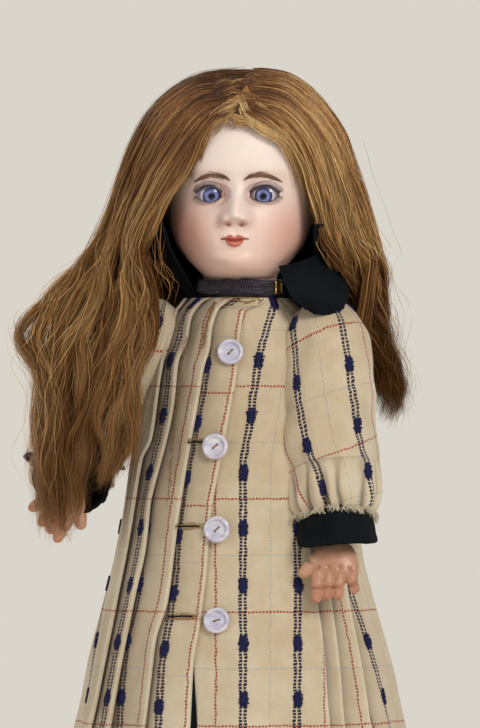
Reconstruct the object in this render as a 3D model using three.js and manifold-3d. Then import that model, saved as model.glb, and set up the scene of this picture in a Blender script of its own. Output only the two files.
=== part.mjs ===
// Jointed bisque head doll in a woven coat dress, about 46 cm tall. Units are millimetres and +Z is up.
// The doll faces -Y, its own left side is +X, and its shoe soles rest on z = 0.
import * as THREE from 'three';
import { mergeVertices } from 'three/addons/utils/BufferGeometryUtils.js';
import Module from 'manifold-3d';

const wasm = await Module();
wasm.setup();

// Driving dimensions
const gap = 0.3;
const shellWall = 4;
const bisqueWall = 3.5;
const clothThickness = 1.6;
const velvetThickness = 1.8;
const elasticRadius = 1.5;
const channelRadius = 2.1;
const roundSides = 12;

const hip = new THREE.Vector3(19.5, 0, 208);
const thighLength = 90;
const hipBallRadius = 12;
const kneeBallRadius = 8.5;

const shoulder = new THREE.Vector3(39, -3.2, 337);
const upperArmLength = 52;
const forearmLength = 42;
const shoulderBallRadius = 8;
const elbowBallRadius = 6.5;
const wristBallRadius = 4;

const neckPivot = new THREE.Vector3(0, 0, 360);
const neckBallRadius = 15;
const headTurn = -4;
const eyeRadius = 7.4;
const eyeCentre = new THREE.Vector3(12.1, -24.6, 403.6);

const hemHeight = 85;
const neckline = 357;
const pleatRise = 2.4;
const hemFold = 3;
const hemFolds = 12;

const buttonRadius = 5.7;
const buttonThickness = 2.2;

// How each arm is held: swing forward, raise sideways, elbow bend and wrist bend, in degrees
const armPoses = {
  left: { side: 1, swing: 10, raise: 4, bend: 22, wrist: -4 },
  right: { side: -1, swing: -20, raise: 36, bend: 80, wrist: -34 },
};

const radians = THREE.MathUtils.degToRad;

// A faceted ball turns freely in a faceted socket whose flats still clear the ball's corners
const facet = Math.cos(Math.PI / roundSides) ** 2;
const socketRadius = (radius) => (radius + gap) / facet;

// Colours from the object itself
function finish(color, roughness, metalness = 0) {
  return new THREE.MeshStandardMaterial({ color, roughness, metalness });
}

const bisque = () => finish(0xe3b79a, 0.5);
const glass = () => finish(0x5a5f9c, 0.08);
const plaster = () => finish(0xe8e2d6, 0.9);
const cork = () => finish(0xb08a5c, 0.95);
const gauze = () => finish(0xcbb894, 0.95);
const hair = () => finish(0x9a6f3c, 0.55);
const wood = () => finish(0xc79a63, 0.6);
const iron = () => finish(0x55504c, 0.45, 0.8);
const composition = () => finish(0xc99674, 0.5);
const elastic = () => finish(0xd9cfba, 0.85);
const wool = () => finish(0xc9b591, 0.9);
const velvet = () => finish(0x10202a, 0.95);
const silk = () => finish(0x4a2548, 0.5);
const brass = () => finish(0xb79a4a, 0.3, 1);
const pearl = () => finish(0xd8d2dc, 0.2);
const knit = () => finish(0xe4ded0, 0.9);
const leather = () => finish(0x2a1a14, 0.45);

// Solids and their joins
function geometryOf(vertices, triangles) {
  const flat = vertices.flatMap((p) => [p.x, p.y, p.z]);
  const volume = triangles.reduce((sum, [a, b, c]) => (
    sum + vertices[a].dot(new THREE.Vector3().crossVectors(vertices[b], vertices[c]))), 0);
  const outward = volume < 0 ? triangles.map(([a, b, c]) => [a, c, b]) : triangles;
  const geometry = new THREE.BufferGeometry();
  geometry.setAttribute('position', new THREE.Float32BufferAttribute(flat, 3));
  geometry.setIndex(outward.flat());
  return geometry;
}

function solidOf(geometry) {
  const bare = geometry.clone();
  bare.deleteAttribute('normal');
  bare.deleteAttribute('uv');
  const merged = mergeVertices(bare, 1e-4);
  return new wasm.Manifold(new wasm.Mesh({
    numProp: 3,
    vertProperties: new Float32Array(merged.attributes.position.array),
    triVerts: new Uint32Array(merged.index.array),
  }));
}

function largest(solid) {
  const bodies = solid.decompose();
  return bodies.reduce((best, body) => (body.volume() > best.volume() ? body : best));
}

function geometryFrom(solid) {
  const mesh = largest(solid).getMesh();
  const geometry = new THREE.BufferGeometry();
  geometry.setAttribute('position', new THREE.Float32BufferAttribute(mesh.vertProperties, 3));
  geometry.setIndex(Array.from(mesh.triVerts));
  return geometry;
}

function cutAll(solid, cutters) {
  return cutters.reduce((rest, cutter) => rest.subtract(cutter), solid);
}

function placed(solid, matrix) {
  return solid.transform(matrix.elements);
}

function part(name, shape, material) {
  const geometry = shape.isBufferGeometry ? shape : geometryFrom(shape);
  geometry.computeVertexNormals();
  const mesh = new THREE.Mesh(geometry, material);
  mesh.name = name;
  return mesh;
}

// A closed solid through a list of rings that have the same number of points
function loft(rings) {
  const sides = rings[0].length;
  const vertices = rings.flat();
  const triangles = [];
  for (let i = 0; i < rings.length - 1; i += 1) {
    for (let j = 0; j < sides; j += 1) {
      const a = i * sides + j;
      const b = i * sides + (j + 1) % sides;
      triangles.push([a, b, b + sides], [a, b + sides, a + sides]);
    }
  }
  [[0, false], [rings.length - 1, true]].forEach(([row, top]) => {
    const centre = vertices.length;
    const sum = rings[row].reduce((total, p) => total.add(p), new THREE.Vector3());
    vertices.push(sum.divideScalar(sides));
    for (let j = 0; j < sides; j += 1) {
      const a = row * sides + j;
      const b = row * sides + (j + 1) % sides;
      triangles.push(top ? [centre, a, b] : [centre, b, a]);
    }
  });
  return geometryOf(vertices, triangles);
}

// Ring around a vertical axis whose front and back are two half ellipses
function bodyRing([z, halfWidth, front, back], offset, sides, relief) {
  const least = 0.6;
  return Array.from({ length: sides }, (_, j) => {
    const angle = (2 * Math.PI * j) / sides;
    const depth = Math.sin(angle) > 0 ? back : front;
    const x = Math.max(halfWidth + offset, least) * Math.cos(angle);
    const y = Math.max(depth + offset, least) * Math.sin(angle);
    const push = relief && Math.sin(angle) < 0 ? relief(x, z) * -Math.sin(angle) : 0;
    return new THREE.Vector3(x, y - push, z);
  });
}

function bodyLoft(sections, offset, sides, relief) {
  const last = sections.length - 1;
  return loft(sections.map(([z, ...radii], i) => {
    const end = (i === last ? offset : 0) - (i === 0 ? offset : 0);
    return bodyRing([z + end, ...radii], offset, sides, relief);
  }));
}

// A solid of revolution about -Z, from stations of distance below the origin and radius
function turned(stations, sides) {
  return loft(stations.map(([below, radius]) => (
    Array.from({ length: sides }, (_, j) => {
      const angle = (2 * Math.PI * j) / sides;
      return new THREE.Vector3(radius * Math.cos(angle), radius * Math.sin(angle), -below);
    }))));
}

function ball(radius, centre = new THREE.Vector3(), sides = roundSides) {
  const sphere = new THREE.SphereGeometry(radius, sides, sides / 2);
  return solidOf(sphere.translate(centre.x, centre.y, centre.z));
}

// A straight round rod between two points
function rod(from, to, radius, sides = 10) {
  const along = new THREE.Vector3().subVectors(to, from);
  const length = along.length();
  const cylinder = new THREE.CylinderGeometry(radius, radius, length, sides);
  cylinder.translate(0, length / 2, 0);
  const turn = new THREE.Quaternion().setFromUnitVectors(new THREE.Vector3(0, 1, 0), along.normalize());
  cylinder.applyQuaternion(turn);
  return solidOf(cylinder.translate(from.x, from.y, from.z));
}

function box(low, high) {
  const size = new THREE.Vector3().subVectors(high, low);
  const centre = new THREE.Vector3().addVectors(low, high).multiplyScalar(0.5);
  return solidOf(new THREE.BoxGeometry(size.x, size.y, size.z).translate(centre.x, centre.y, centre.z));
}

// A round tube along a smooth curve through its points
function tube(points, radius, sides, steps) {
  const section = new THREE.Shape();
  section.absarc(0, 0, radius, 0, 2 * Math.PI);
  const outline = new THREE.Shape(section.getSpacedPoints(sides).slice(0, sides));
  return new THREE.ExtrudeGeometry(outline, {
    steps,
    bevelEnabled: false,
    extrudePath: new THREE.CatmullRomCurve3(points),
  });
}

// A thin closed sheet between an outer and an inner grid of points, rows first
function sheet(outer, inner) {
  const rows = outer.length;
  const columns = outer[0].length;
  const vertices = [...outer.flat(), ...inner.flat()];
  const under = rows * columns;
  const triangles = [];
  const quad = (a, b, c, d) => triangles.push([a, b, c], [a, c, d]);
  for (let i = 0; i < rows - 1; i += 1) {
    for (let j = 0; j < columns - 1; j += 1) {
      const a = i * columns + j;
      const b = a + columns;
      quad(a, a + 1, b + 1, b);
      quad(under + a, under + b, under + b + 1, under + a + 1);
    }
    const start = i * columns;
    const end = start + columns - 1;
    quad(start, start + columns, under + start + columns, under + start);
    quad(end, under + end, under + end + columns, end + columns);
  }
  const top = (rows - 1) * columns;
  for (let j = 0; j < columns - 1; j += 1) {
    quad(j, under + j, under + j + 1, j + 1);
    quad(top + j, top + j + 1, under + top + j + 1, under + top + j);
  }
  return geometryOf(vertices, triangles);
}

// Value of one column of a list of sections at a height
function sectionAt(sections, z, column) {
  const above = sections.findIndex((section) => section[0] >= z);
  if (above <= 0) {
    return sections[above === 0 ? 0 : sections.length - 1][column];
  }
  const [low, high] = [sections[above - 1], sections[above]];
  const share = (z - low[0]) / (high[0] - low[0]);
  return THREE.MathUtils.lerp(low[column], high[column], share);
}

// Head: sections are height, half width, front depth and back depth
const headSections = [
  [346.3, 6, 6, 6], [350, 11.2, 11.2, 11.2], [355, 14.1, 14.1, 14.1], [360, 15, 15, 15],
  [366.6, 16, 17, 18], [368.2, 16, 28, 19], [371, 18.5, 32, 22], [376, 23.5, 34, 28],
  [383.4, 28, 34, 34], [391, 29.8, 34.5, 38], [399, 31.5, 34, 41], [408, 33.8, 34.8, 42.5],
  [418, 35.4, 36, 43], [428, 34.8, 35, 41.5], [437, 31.4, 31.5, 37], [445, 24.5, 24.5, 29],
  [450, 15.5, 15.5, 19], [452.5, 4, 4, 5],
];
const innerHeadSections = headSections.filter((_, i) => i > 1 && i % 2 === 0);
const headSides = 24;
const bump = (distance, spread) => Math.exp(-0.5 * (distance / spread) ** 2);

// Features below the line of the eyes, and how far the cheeks stand out from the middle
const noseDrop = 10.4;
const bridgeDrop = 1.6;
const lipDrop = 20.6;
const chinDrop = 31.1;
const cheekDrop = 16.6;
const cheekOut = 16;

// Forward relief of the face at a place across and up
function faceRelief(x, z) {
  const below = eyeCentre.z - z;
  const pair = (out, spread) => bump(x - out, spread) + bump(x + out, spread);
  const nose = 6.5 * bump(x, 3.4) * bump(below - noseDrop, 4.4);
  const bridge = 2.6 * bump(x, 3) * bump(below - bridgeDrop, 7);
  const lips = 1.8 * bump(x, 6) * bump(below - lipDrop, 3.4);
  const chin = 2.2 * bump(x, 6.5) * bump(below - chinDrop, 3.6);
  const cheeks = 1.4 * pair(cheekOut, 8) * bump(below - cheekDrop, 8);
  const sockets = 2.2 * pair(eyeCentre.x, 6) * bump(below, 4.2);
  return nose + bridge + lips + chin + cheeks - sockets;
}

function ears(offset) {
  const ear = new THREE.SphereGeometry(1, 8, 4).scale(3 + offset, 4.6 + offset, 7.5 + offset);
  const right = solidOf(ear.clone().translate(-33, 4, 397));
  return solidOf(ear.translate(33, 4, 397)).add(right);
}

function headSolid(offset) {
  return solidOf(bodyLoft(headSections, offset, headSides, faceRelief)).add(ears(offset));
}

// Everything above the slanted crown opening, with its lower face moved up by a clearance
const crownDrop = 15.5;
const crownHeight = headSections.at(-1)[0] - crownDrop;
const crownSlant = 16;
function aboveCrown(clearance) {
  const slab = new THREE.BoxGeometry(120, 120, 60).translate(0, 0, 30 + clearance);
  return solidOf(slab.rotateX(-radians(crownSlant)).translate(0, 0, crownHeight));
}

const eyeAt = (side) => new THREE.Vector3(side * eyeCentre.x, eyeCentre.y, eyeCentre.z);

// Almond eye opening that goes straight back from the face
function eyeOpening(side) {
  const outline = new THREE.Shape();
  outline.absellipse(0, 0, 6.1, 3.8, 0, 2 * Math.PI);
  const opening = new THREE.ExtrudeGeometry(outline, { depth: 30, bevelEnabled: false, curveSegments: 7 });
  const centre = eyeAt(side);
  return solidOf(opening.rotateX(Math.PI / 2).translate(centre.x, centre.y, centre.z));
}

function bisqueHead() {
  const inner = solidOf(bodyLoft(innerHeadSections, -bisqueWall, 12));
  const neckHole = rod(new THREE.Vector3(0, 0, 340), new THREE.Vector3(0, 0, 362), 5.5);
  const cuts = [inner, neckHole, ball(neckBallRadius - bisqueWall, neckPivot), aboveCrown(0)];
  [-1, 1].forEach((side) => cuts.push(ball(eyeRadius + gap, eyeAt(side)), eyeOpening(side)));
  return cutAll(headSolid(0), cuts);
}

function eyePlaster() {
  const lump = new THREE.SphereGeometry(1, 10, 6).scale(24, 9, 8.5);
  const eyes = [-1, 1].map((side) => ball(eyeRadius + gap, eyeAt(side)));
  const solid = solidOf(lump.translate(0, eyeCentre.y + 6, eyeCentre.z));
  const inside = solidOf(bodyLoft(innerHeadSections, -bisqueWall - gap, 12));
  return cutAll(solid.intersect(inside), eyes);
}

function corkPate() {
  const dome = solidOf(bodyLoft(headSections.slice(8), 0, 16)).intersect(aboveCrown(gap));
  const hollow = solidOf(bodyLoft(innerHeadSections, -5, 10)).intersect(aboveCrown(-1));
  return dome.subtract(hollow);
}

// Cap line: the wig covers what is behind a plane that leans from the forehead to the nape
function behindHairline() {
  const slab = new THREE.BoxGeometry(160, 160, 200).translate(0, 80, 0);
  return solidOf(slab.rotateX(radians(38)).translate(0, -6, 412));
}

// Skull shape with fewer sides, far enough out for its flats to clear the head by a given distance
const wigSides = 14;
const headReach = 43;
function skull(clearance) {
  const offset = (headReach + clearance) / Math.cos(Math.PI / wigSides) - headReach;
  return solidOf(bodyLoft(headSections.slice(5), offset, wigSides));
}

const capThickness = 0.9;
const capLowest = 391;
function wigCap() {
  const cap = skull(gap + capThickness).intersect(behindHairline());
  const nape = box(new THREE.Vector3(-80, -80, 300), new THREE.Vector3(80, 80, capLowest));
  return cutAll(cap, [skull(gap), ears(2 * gap), nape]);
}

// Hair masses: height, half width, front depth and back depth of the crown
const crownSplit = 374;
const crownSections = [
  [crownSplit, 61, 20, 50], [387, 57.5, 24, 51], [401, 53.5, 27, 52], [418, 48, 33, 51], [428, 45, 38, 50],
  [437, 40, 37, 46], [448, 30, 28, 36], [456, 17, 15, 21], [459, 6, 5, 7],
];

// The open window of the face, round above and straight at the sides
function faceWindow() {
  const outline = new THREE.Shape();
  outline.moveTo(-29, 340);
  outline.lineTo(29, 340);
  outline.lineTo(31, 391);
  outline.absellipse(0, 391, 31, 37, 0, Math.PI);
  const window = new THREE.ExtrudeGeometry(outline, { depth: 90, bevelEnabled: false, curveSegments: 9 });
  return solidOf(window.rotateX(Math.PI / 2).translate(0, 2, 0));
}

function collarRoom() {
  return rod(new THREE.Vector3(0, 2, 340), new THREE.Vector3(0, 2, 390), 39, 16);
}

function wigCrown() {
  const mass = solidOf(bodyLoft(crownSections, 0, 16));
  return cutAll(mass, [skull(2 * gap + capThickness), ears(1), faceWindow(), collarRoom()]);
}

// A lock of hair from stations of height, centre across, centre back, half width and half depth
function lock(stations, sides = 16) {
  return solidOf(loft(stations.map(([z, x, y, halfWidth, halfDepth]) => (
    Array.from({ length: sides }, (_, j) => {
      const angle = (2 * Math.PI * j) / sides;
      return new THREE.Vector3(x + halfWidth * Math.cos(angle), y + halfDepth * Math.sin(angle), z);
    })))));
}

const fallTop = crownSplit - gap;
const rightFall = [
  [fallTop, -49, -6, 15, 20], [361, -58, -15, 22, 17], [342, -65, -26, 24, 13], [324, -65, -36, 20, 10],
  [304, -68, -43, 18.5, 8], [282, -69.5, -47, 17, 7], [268, -73, -48, 11, 6], [250, -76, -48, 2, 2],
];
const leftFall = [
  [fallTop, 48, 12, 13, 19], [355, 49, 20, 13, 15], [340, 51, 26, 13, 12], [322, 56, 29, 14, 10],
  [304, 60, 30, 13, 8], [290, 61, 30, 10, 6], [280, 62, 30, 3, 3],
];
const backFall = [
  [fallTop, 0, 42, 50, 10], [355, 0, 43, 53, 12], [335, 0, 42, 53, 12], [310, 0, 41, 48, 11],
  [288, 0, 42, 40, 8], [270, 0, 44, 28, 4],
];

// Neck button and hook
function neckButton() {
  const cap = ball((neckBallRadius - bisqueWall) * facet - gap, neckPivot);
  const room = new THREE.Vector3(20, 20, neckPivot.z - 8);
  const low = new THREE.Vector3(-20, -20, neckPivot.z - neckBallRadius);
  const hole = rod(new THREE.Vector3(0, 0, 340), new THREE.Vector3(0, 0, 362), 2.2, 8);
  return cap.intersect(box(low, room)).subtract(hole);
}

const hookWire = 1;
const hookBottom = 322;
const hookReach = 6;
function neckHook() {
  const above = neckPivot.z - 8 + hookWire + 2 * gap;
  return tube([
    new THREE.Vector3(5, 0, above), new THREE.Vector3(2.4, 0, above), new THREE.Vector3(0, 0, above - 2),
    new THREE.Vector3(0, 0, 340), new THREE.Vector3(0, 0, hookBottom + 5),
    new THREE.Vector3(0, hookReach / 2, hookBottom), new THREE.Vector3(0, hookReach, hookBottom + 4),
    new THREE.Vector3(0, hookReach, hookBottom + 9),
  ], hookWire, 6, 18);
}

// Torso: height, half width, front depth and back depth
const torsoSections = [
  [198.5, 6, 5, 7], [203, 18, 8, 15], [210, 25, 12, 20], [217, 27.5, 18, 23], [226, 28.5, 22.5, 24.5],
  [240, 27.5, 24.5, 23.5], [262, 26, 23.5, 20], [285, 27, 23, 20], [305, 28, 23, 21], [322, 28.5, 22, 21],
  [332, 30.5, 20.5, 20], [339, 32.6, 19, 19], [345, 30, 18, 18], [350, 24, 17, 17], [353.5, 18, 16, 16],
];
const innerTorsoSections = torsoSections.filter((_, i) => i % 2 === 1);
const torsoSides = 12;

function torsoSolid(offset) {
  return solidOf(bodyLoft(torsoSections, offset, torsoSides));
}

const mirrored = (point, side) => new THREE.Vector3(side * point.x, point.y, point.z);
const neckHoleRadius = 9.5;

function torso() {
  const outer = torsoSolid(0);
  const hollow = solidOf(bodyLoft(innerTorsoSections, -shellWall, 8));
  let body = outer.subtract(hollow);
  const seats = [[neckPivot, neckBallRadius]];
  [-1, 1].forEach((side) => {
    seats.push([mirrored(hip, side), hipBallRadius], [mirrored(shoulder, side), shoulderBallRadius]);
  });
  seats.forEach(([centre, radius]) => {
    body = body.add(ball(socketRadius(radius) + shellWall, centre, 8).intersect(outer));
  });
  const cuts = seats.map(([centre, radius]) => ball(socketRadius(radius), centre));
  cuts.push(rod(new THREE.Vector3(0, 0, 330), new THREE.Vector3(0, 0, 360), neckHoleRadius, 16));
  const armLeft = mirrored(shoulder, 1);
  cuts.push(rod(mirrored(shoulder, -1), armLeft, 3.4));
  [-1, 1].forEach((side) => {
    const joint = mirrored(hip, side);
    cuts.push(rod(joint, new THREE.Vector3(side * 8, 2, 262), 4.5));
  });
  return cutAll(body, cuts);
}

const cordEnd = elasticRadius + gap + 0.2;
function chestElastic() {
  const reach = shoulder.x - cordEnd;
  const from = new THREE.Vector3(-reach, shoulder.y, shoulder.z);
  return rod(from, new THREE.Vector3(reach, shoulder.y, shoulder.z), elasticRadius);
}

const legElasticKnee = new THREE.Vector3(8, 2, 262);
function legElastic() {
  const rise = new THREE.Vector3().subVectors(legElasticKnee, hip).normalize().multiplyScalar(cordEnd + 0.6);
  const start = new THREE.Vector3().addVectors(hip, rise);
  const loopY = hookReach / 2;
  const left = [
    start, new THREE.Vector3(13, 1, 237), legElasticKnee, new THREE.Vector3(5, loopY, 300),
    new THREE.Vector3(3.6, loopY, hookBottom - 1),
  ];
  const apex = new THREE.Vector3(0, loopY, hookBottom + 5.6);
  const right = left.map((point) => mirrored(point, -1)).reverse();
  return tube([...left, apex, ...right], elasticRadius, 6, 20);
}

// Dress outline: height, half width, front depth and back depth
const dressSections = [
  [hemHeight, 93, 72, 72], [125, 83, 64, 64], [169, 71.5, 52, 53], [206, 64, 43, 45], [242, 54.5, 36.5, 37],
  [269, 50, 33, 32], [295, 46, 30.5, 28], [323, 39.5, 28, 25.5], [340, 35, 24, 23.5], [350, 28, 21, 21],
  [neckline, 19.5, 18.5, 18.5],
];
const dressRows = dressSections.map((section) => section[0]);
const lowerShare = (z) => THREE.MathUtils.clamp((242 - z) / (242 - hemHeight), 0, 1);

// Place on the dress at an angle from the front towards the left, a height and a lift off the outline
function dressPoint(angle, z, lift) {
  const front = Math.cos(radians(angle)) > 0;
  const fold = hemFold * lowerShare(z) * Math.cos(hemFolds * radians(angle));
  const halfWidth = sectionAt(dressSections, z, 1) + lift + fold;
  const depth = sectionAt(dressSections, z, front ? 2 : 3) + lift + fold;
  return new THREE.Vector3(
    halfWidth * Math.sin(radians(angle)),
    -depth * Math.cos(radians(angle)),
    z,
  );
}

// Angle on the dress of a line that runs from the neckline through the chest and waist to the hem
const lineHeights = [hemHeight, 169, 242, 295, neckline];
function lineAngle(angles, z) {
  const sections = lineHeights.map((height, i) => [height, angles[i]]);
  return sectionAt(sections, z, 1);
}

// Fold lines at the hem, thigh, hip, chest and neckline
const flapEdge = [-20, -19, -16, -9, 2];
const pleatEdges = [[-74, -74, -74, -64, -55], [-58, -60, -56, -49, -38], [-38, -37, -35, -29, -20]];
const leftPleatEdges = [[45, 43, 41, 44, 48], [66, 66, 66, 68, 70]];

function seamAngle(z, side) {
  const depth = sectionAt(dressSections, z, 2);
  return side * (90 - THREE.MathUtils.radToDeg(gap / depth));
}

// Columns of a panel: each is a function of height that gives an angle and a lift
const column = (angles, shift, lift) => (z) => [lineAngle(angles, z) + shift, lift];
const between = (one, two, share, lift) => (z) => (
  [THREE.MathUtils.lerp(lineAngle(one, z), lineAngle(two, z), share), lift]);

function panel(columns, thickness = clothThickness) {
  const grid = (drop) => dressRows.map((z) => columns.map((at) => {
    const [angle, lift] = at(z);
    return dressPoint(angle, z, lift - drop);
  }));
  return solidOf(sheet(grid(0), grid(thickness)));
}

const flapLift = clothThickness + 0.6;
const foldWidth = 0.6;

function rightFrontPanel() {
  const columns = [(z) => [seamAngle(z, -1), 0]];
  pleatEdges.forEach((edge, i) => {
    const next = pleatEdges[i + 1] ?? flapEdge;
    columns.push(column(edge, -foldWidth, pleatRise), column(edge, foldWidth, 0));
    columns.push(between(edge, next, 0.5, (i === 2 ? flapLift : pleatRise) / 2));
  });
  columns.push(column(flapEdge, 0, flapLift));
  return panel(columns);
}

function leftFrontPanel() {
  const underlap = pleatEdges[2];
  const columns = [
    column(underlap, 3, -clothThickness - 1),
    between(underlap, flapEdge, 0.6, -clothThickness / 2 - 0.4),
    column(flapEdge, 0, 0),
    (z) => [Math.max(0, lineAngle(flapEdge, z) + 4), 0],
    () => [22, 0],
  ];
  leftPleatEdges.forEach((edge) => {
    columns.push(column(edge, -foldWidth, 0), column(edge, foldWidth, pleatRise));
    columns.push(column(edge, 11, pleatRise / 2));
  });
  columns.push((z) => [seamAngle(z, 1), 0]);
  return panel(columns);
}

// Back: its columns lie on the ridges and hollows of the hem folds
const backColumns = hemFolds;
function backPanel() {
  const columns = Array.from({ length: backColumns + 1 }, (_, j) => (z) => {
    const seams = { 0: 180 - seamAngle(z, 1), [backColumns]: 180 - seamAngle(z, -1) };
    return [seams[j] ?? 90 + (180 * j) / backColumns, 0];
  });
  return panel(columns);
}

// Arms: the matrices of each moving body in the held pose
function turnedBy(axis, degrees) {
  return new THREE.Matrix4().makeRotationAxis(axis, radians(degrees));
}

function moved(x, y, z) {
  return new THREE.Matrix4().makeTranslation(x, y, z);
}

const xAxis = new THREE.Vector3(1, 0, 0);
const yAxis = new THREE.Vector3(0, 1, 0);
const down = new THREE.Vector3(0, 0, -1);

function armFrames({ side, swing, raise, bend, wrist }) {
  const ballFrame = moved(side * shoulder.x, shoulder.y, shoulder.z).multiply(turnedBy(xAxis, -swing));
  const upper = ballFrame.clone().multiply(turnedBy(yAxis, -side * raise));
  const elbow = upper.clone().multiply(moved(0, 0, -upperArmLength)).multiply(turnedBy(xAxis, -bend));
  const hand = elbow.clone().multiply(moved(0, 0, -forearmLength)).multiply(turnedBy(xAxis, -wrist));
  return { ballFrame, upper, elbow, hand };
}

const originOf = (matrix) => new THREE.Vector3().setFromMatrixPosition(matrix);

function shoulderBall({ side, raise }) {
  const armWay = down.clone().applyMatrix4(turnedBy(yAxis, -side * raise)).multiplyScalar(12);
  const bodyWay = new THREE.Vector3(-side * 12, 0, 0);
  const centre = new THREE.Vector3();
  const cuts = [armWay, bodyWay].map((way) => rod(centre, way, channelRadius, 6));
  cuts.push(ball(channelRadius, centre, 6));
  return cutAll(ball(shoulderBallRadius), cuts);
}

function elbowBall({ bend }) {
  const upWay = new THREE.Vector3(0, 0, 10).applyMatrix4(turnedBy(xAxis, bend));
  const centre = new THREE.Vector3();
  const cuts = [upWay, new THREE.Vector3(0, 0, -10)].map((way) => rod(centre, way, channelRadius, 6));
  cuts.push(ball(channelRadius, centre, 6));
  return cutAll(ball(elbowBallRadius), cuts);
}

const limbSides = 10;
function limb(stations, bore, ends) {
  const last = stations[stations.length - 1][0];
  const channel = rod(new THREE.Vector3(), new THREE.Vector3(0, 0, -last - 2), bore, 6);
  const cuts = ends.map(([below, radius]) => ball(socketRadius(radius), new THREE.Vector3(0, 0, -below)));
  return cutAll(solidOf(turned(stations, limbSides)), [channel, ...cuts]);
}

function upperArm() {
  const stations = [
    [4.6, 6.6], [8, 7.6], [20, 8], [upperArmLength - 12, 6.4], [upperArmLength - 5.6, 5],
  ];
  return limb(stations, 2.8, [[0, shoulderBallRadius], [upperArmLength, elbowBallRadius]]);
}

function forearm() {
  const stations = [[5.6, 5], [10, 6.4], [18, 6.8], [30, 5.6], [forearmLength - 3, 4.4]];
  return limb(stations, 2.4, [[0, elbowBallRadius], [forearmLength, wristBallRadius]]);
}

// A rounded finger between two points, thicker at its root
function finger(from, to, rootRadius, tipRadius) {
  const along = new THREE.Vector3().subVectors(to, from);
  const length = along.length();
  const stations = [
    [0, rootRadius], [0.7, (rootRadius + tipRadius) / 2], [0.93, tipRadius * 0.8], [1, tipRadius * 0.35],
  ].map(([share, radius]) => [share * length, radius]);
  const turn = new THREE.Quaternion().setFromUnitVectors(down, along.normalize());
  const geometry = turned(stations, 6).applyQuaternion(turn);
  return solidOf(geometry.translate(from.x, from.y, from.z));
}

const fingerRoots = [-6.4, -2.2, 2.1, 6.3];
const fingerLengths = [9.5, 12.2, 12.4, 9.5];
const palmSides = 8;
function hand(side) {
  const palm = solidOf(loft([
    [0.5, 3.6, 3], [5, 6.4, 4.2], [11, 9.6, 4.4], [15, 9.2, 3.6], [17, 8.2, 2.6],
  ].map(([below, halfWidth, halfDepth]) => (
    Array.from({ length: palmSides }, (_, j) => {
      const angle = (2 * Math.PI * j) / palmSides;
      return new THREE.Vector3(halfWidth * Math.cos(angle), halfDepth * Math.sin(angle), -below);
    })))));
  let solid = palm.add(ball(wristBallRadius, new THREE.Vector3(), 8));
  fingerRoots.forEach((x, i) => {
    const from = new THREE.Vector3(side * x, 0, -14);
    const to = new THREE.Vector3(side * x * 1.12, 1.6, -16 - fingerLengths[i]);
    solid = solid.add(finger(from, to, 2.3, 1.9));
  });
  const thumb = finger(
    new THREE.Vector3(-side * 6, 0.4, -5),
    new THREE.Vector3(-side * 13.6, 1.2, -14.5),
    2.7,
    2.1,
  );
  return solid.add(thumb);
}

// Full sleeve: two tapered lengths along the arm, wider than it, gathered at both ends
const sleeveUpper = [
  [-0.34, 7], [-0.26, 13.6], [-0.1, 17.4], [0.4, 20], [1.0, 20],
];
const sleeveLower = [[-0.2, 18], [0, 20], [0.3, 21], [0.5, 19.5], [0.645, 16.4]];
const sleeveFolds = 5;
const sleeveFoldDepth = 0.7;
const sleeveForward = { left: -6, right: 0 };
const sleeveSides = 15;
const liningSides = 10;

function alongLoft(from, to, stations, offset, forward, extra) {
  const sides = offset < 0 ? liningSides : sleeveSides;
  const folds = offset < 0 ? 0 : sleeveFoldDepth;
  const along = new THREE.Vector3().subVectors(to, from);
  const turn = new THREE.Quaternion().setFromUnitVectors(down, along.clone().normalize());
  const rings = stations.map(([share, radius], i) => {
    const last = i === stations.length - 1;
    const below = share * along.length() + (last ? extra : 0) - (i === 0 ? offset : 0);
    return Array.from({ length: sides }, (_, j) => {
      const angle = (2 * Math.PI * j) / sides;
      const reach = radius + folds * Math.cos(sleeveFolds * angle) + offset;
      const point = new THREE.Vector3(reach * Math.cos(angle), reach * Math.sin(angle), -below);
      point.applyQuaternion(turn).add(from);
      point.y += forward;
      return point;
    });
  });
  return solidOf(loft(rings));
}

function sleeveSolid(name, offset, extra = 0) {
  const frames = armFrames(armPoses[name]);
  const [top, elbow, wrist] = [frames.upper, frames.elbow, frames.hand].map(originOf);
  const forward = sleeveForward[name];
  const upper = alongLoft(top, elbow, sleeveUpper, offset, forward, 0);
  const lower = alongLoft(elbow, wrist, sleeveLower, offset, forward * 0.5, extra);
  const bendCentre = elbow.clone().add(new THREE.Vector3(0, forward * 0.7, 0));
  const bend = ball(sleeveLower[1][1] - 1 + offset, bendCentre, 10);
  return upper.add(lower).add(bend);
}

function sleeve(name) {
  const frames = armFrames(armPoses[name]);
  const [top, elbow] = [frames.upper, frames.elbow].map(originOf);
  const lining = -clothThickness - sleeveFoldDepth;
  const balls = [ball(11, top), ball(elbowBallRadius + 1, elbow)];
  const cuts = [sleeveSolid(name, lining, 4), ...balls, torsoSolid(2 * gap)];
  return cutAll(sleeveSolid(name, 0), cuts);
}

// Cuff: a short band round the wrist, below the gathered end of the sleeve
const cuffRadius = 17;
function cuffSolid(name, offset, extra = 0) {
  const frames = armFrames(armPoses[name]);
  const [elbow, wrist] = [frames.elbow, frames.hand].map(originOf);
  const seat = 0.652;
  const end = 0.96;
  const stations = [[seat, cuffRadius - 0.6], [seat + 0.1, cuffRadius], [end, cuffRadius - 0.8]];
  return alongLoft(elbow, wrist, stations, offset, sleeveForward[name] * 0.5, extra + offset);
}

function cuff(name) {
  const frames = armFrames(armPoses[name]);
  const [elbow, wrist] = [frames.elbow, frames.hand].map(originOf);
  const stations = [[0.6, cuffRadius - velvetThickness], [1.1, cuffRadius - velvetThickness]];
  const inner = alongLoft(elbow, wrist, stations, 0, sleeveForward[name] * 0.5, 0);
  return cuffSolid(name, 0).subtract(inner);
}

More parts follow.
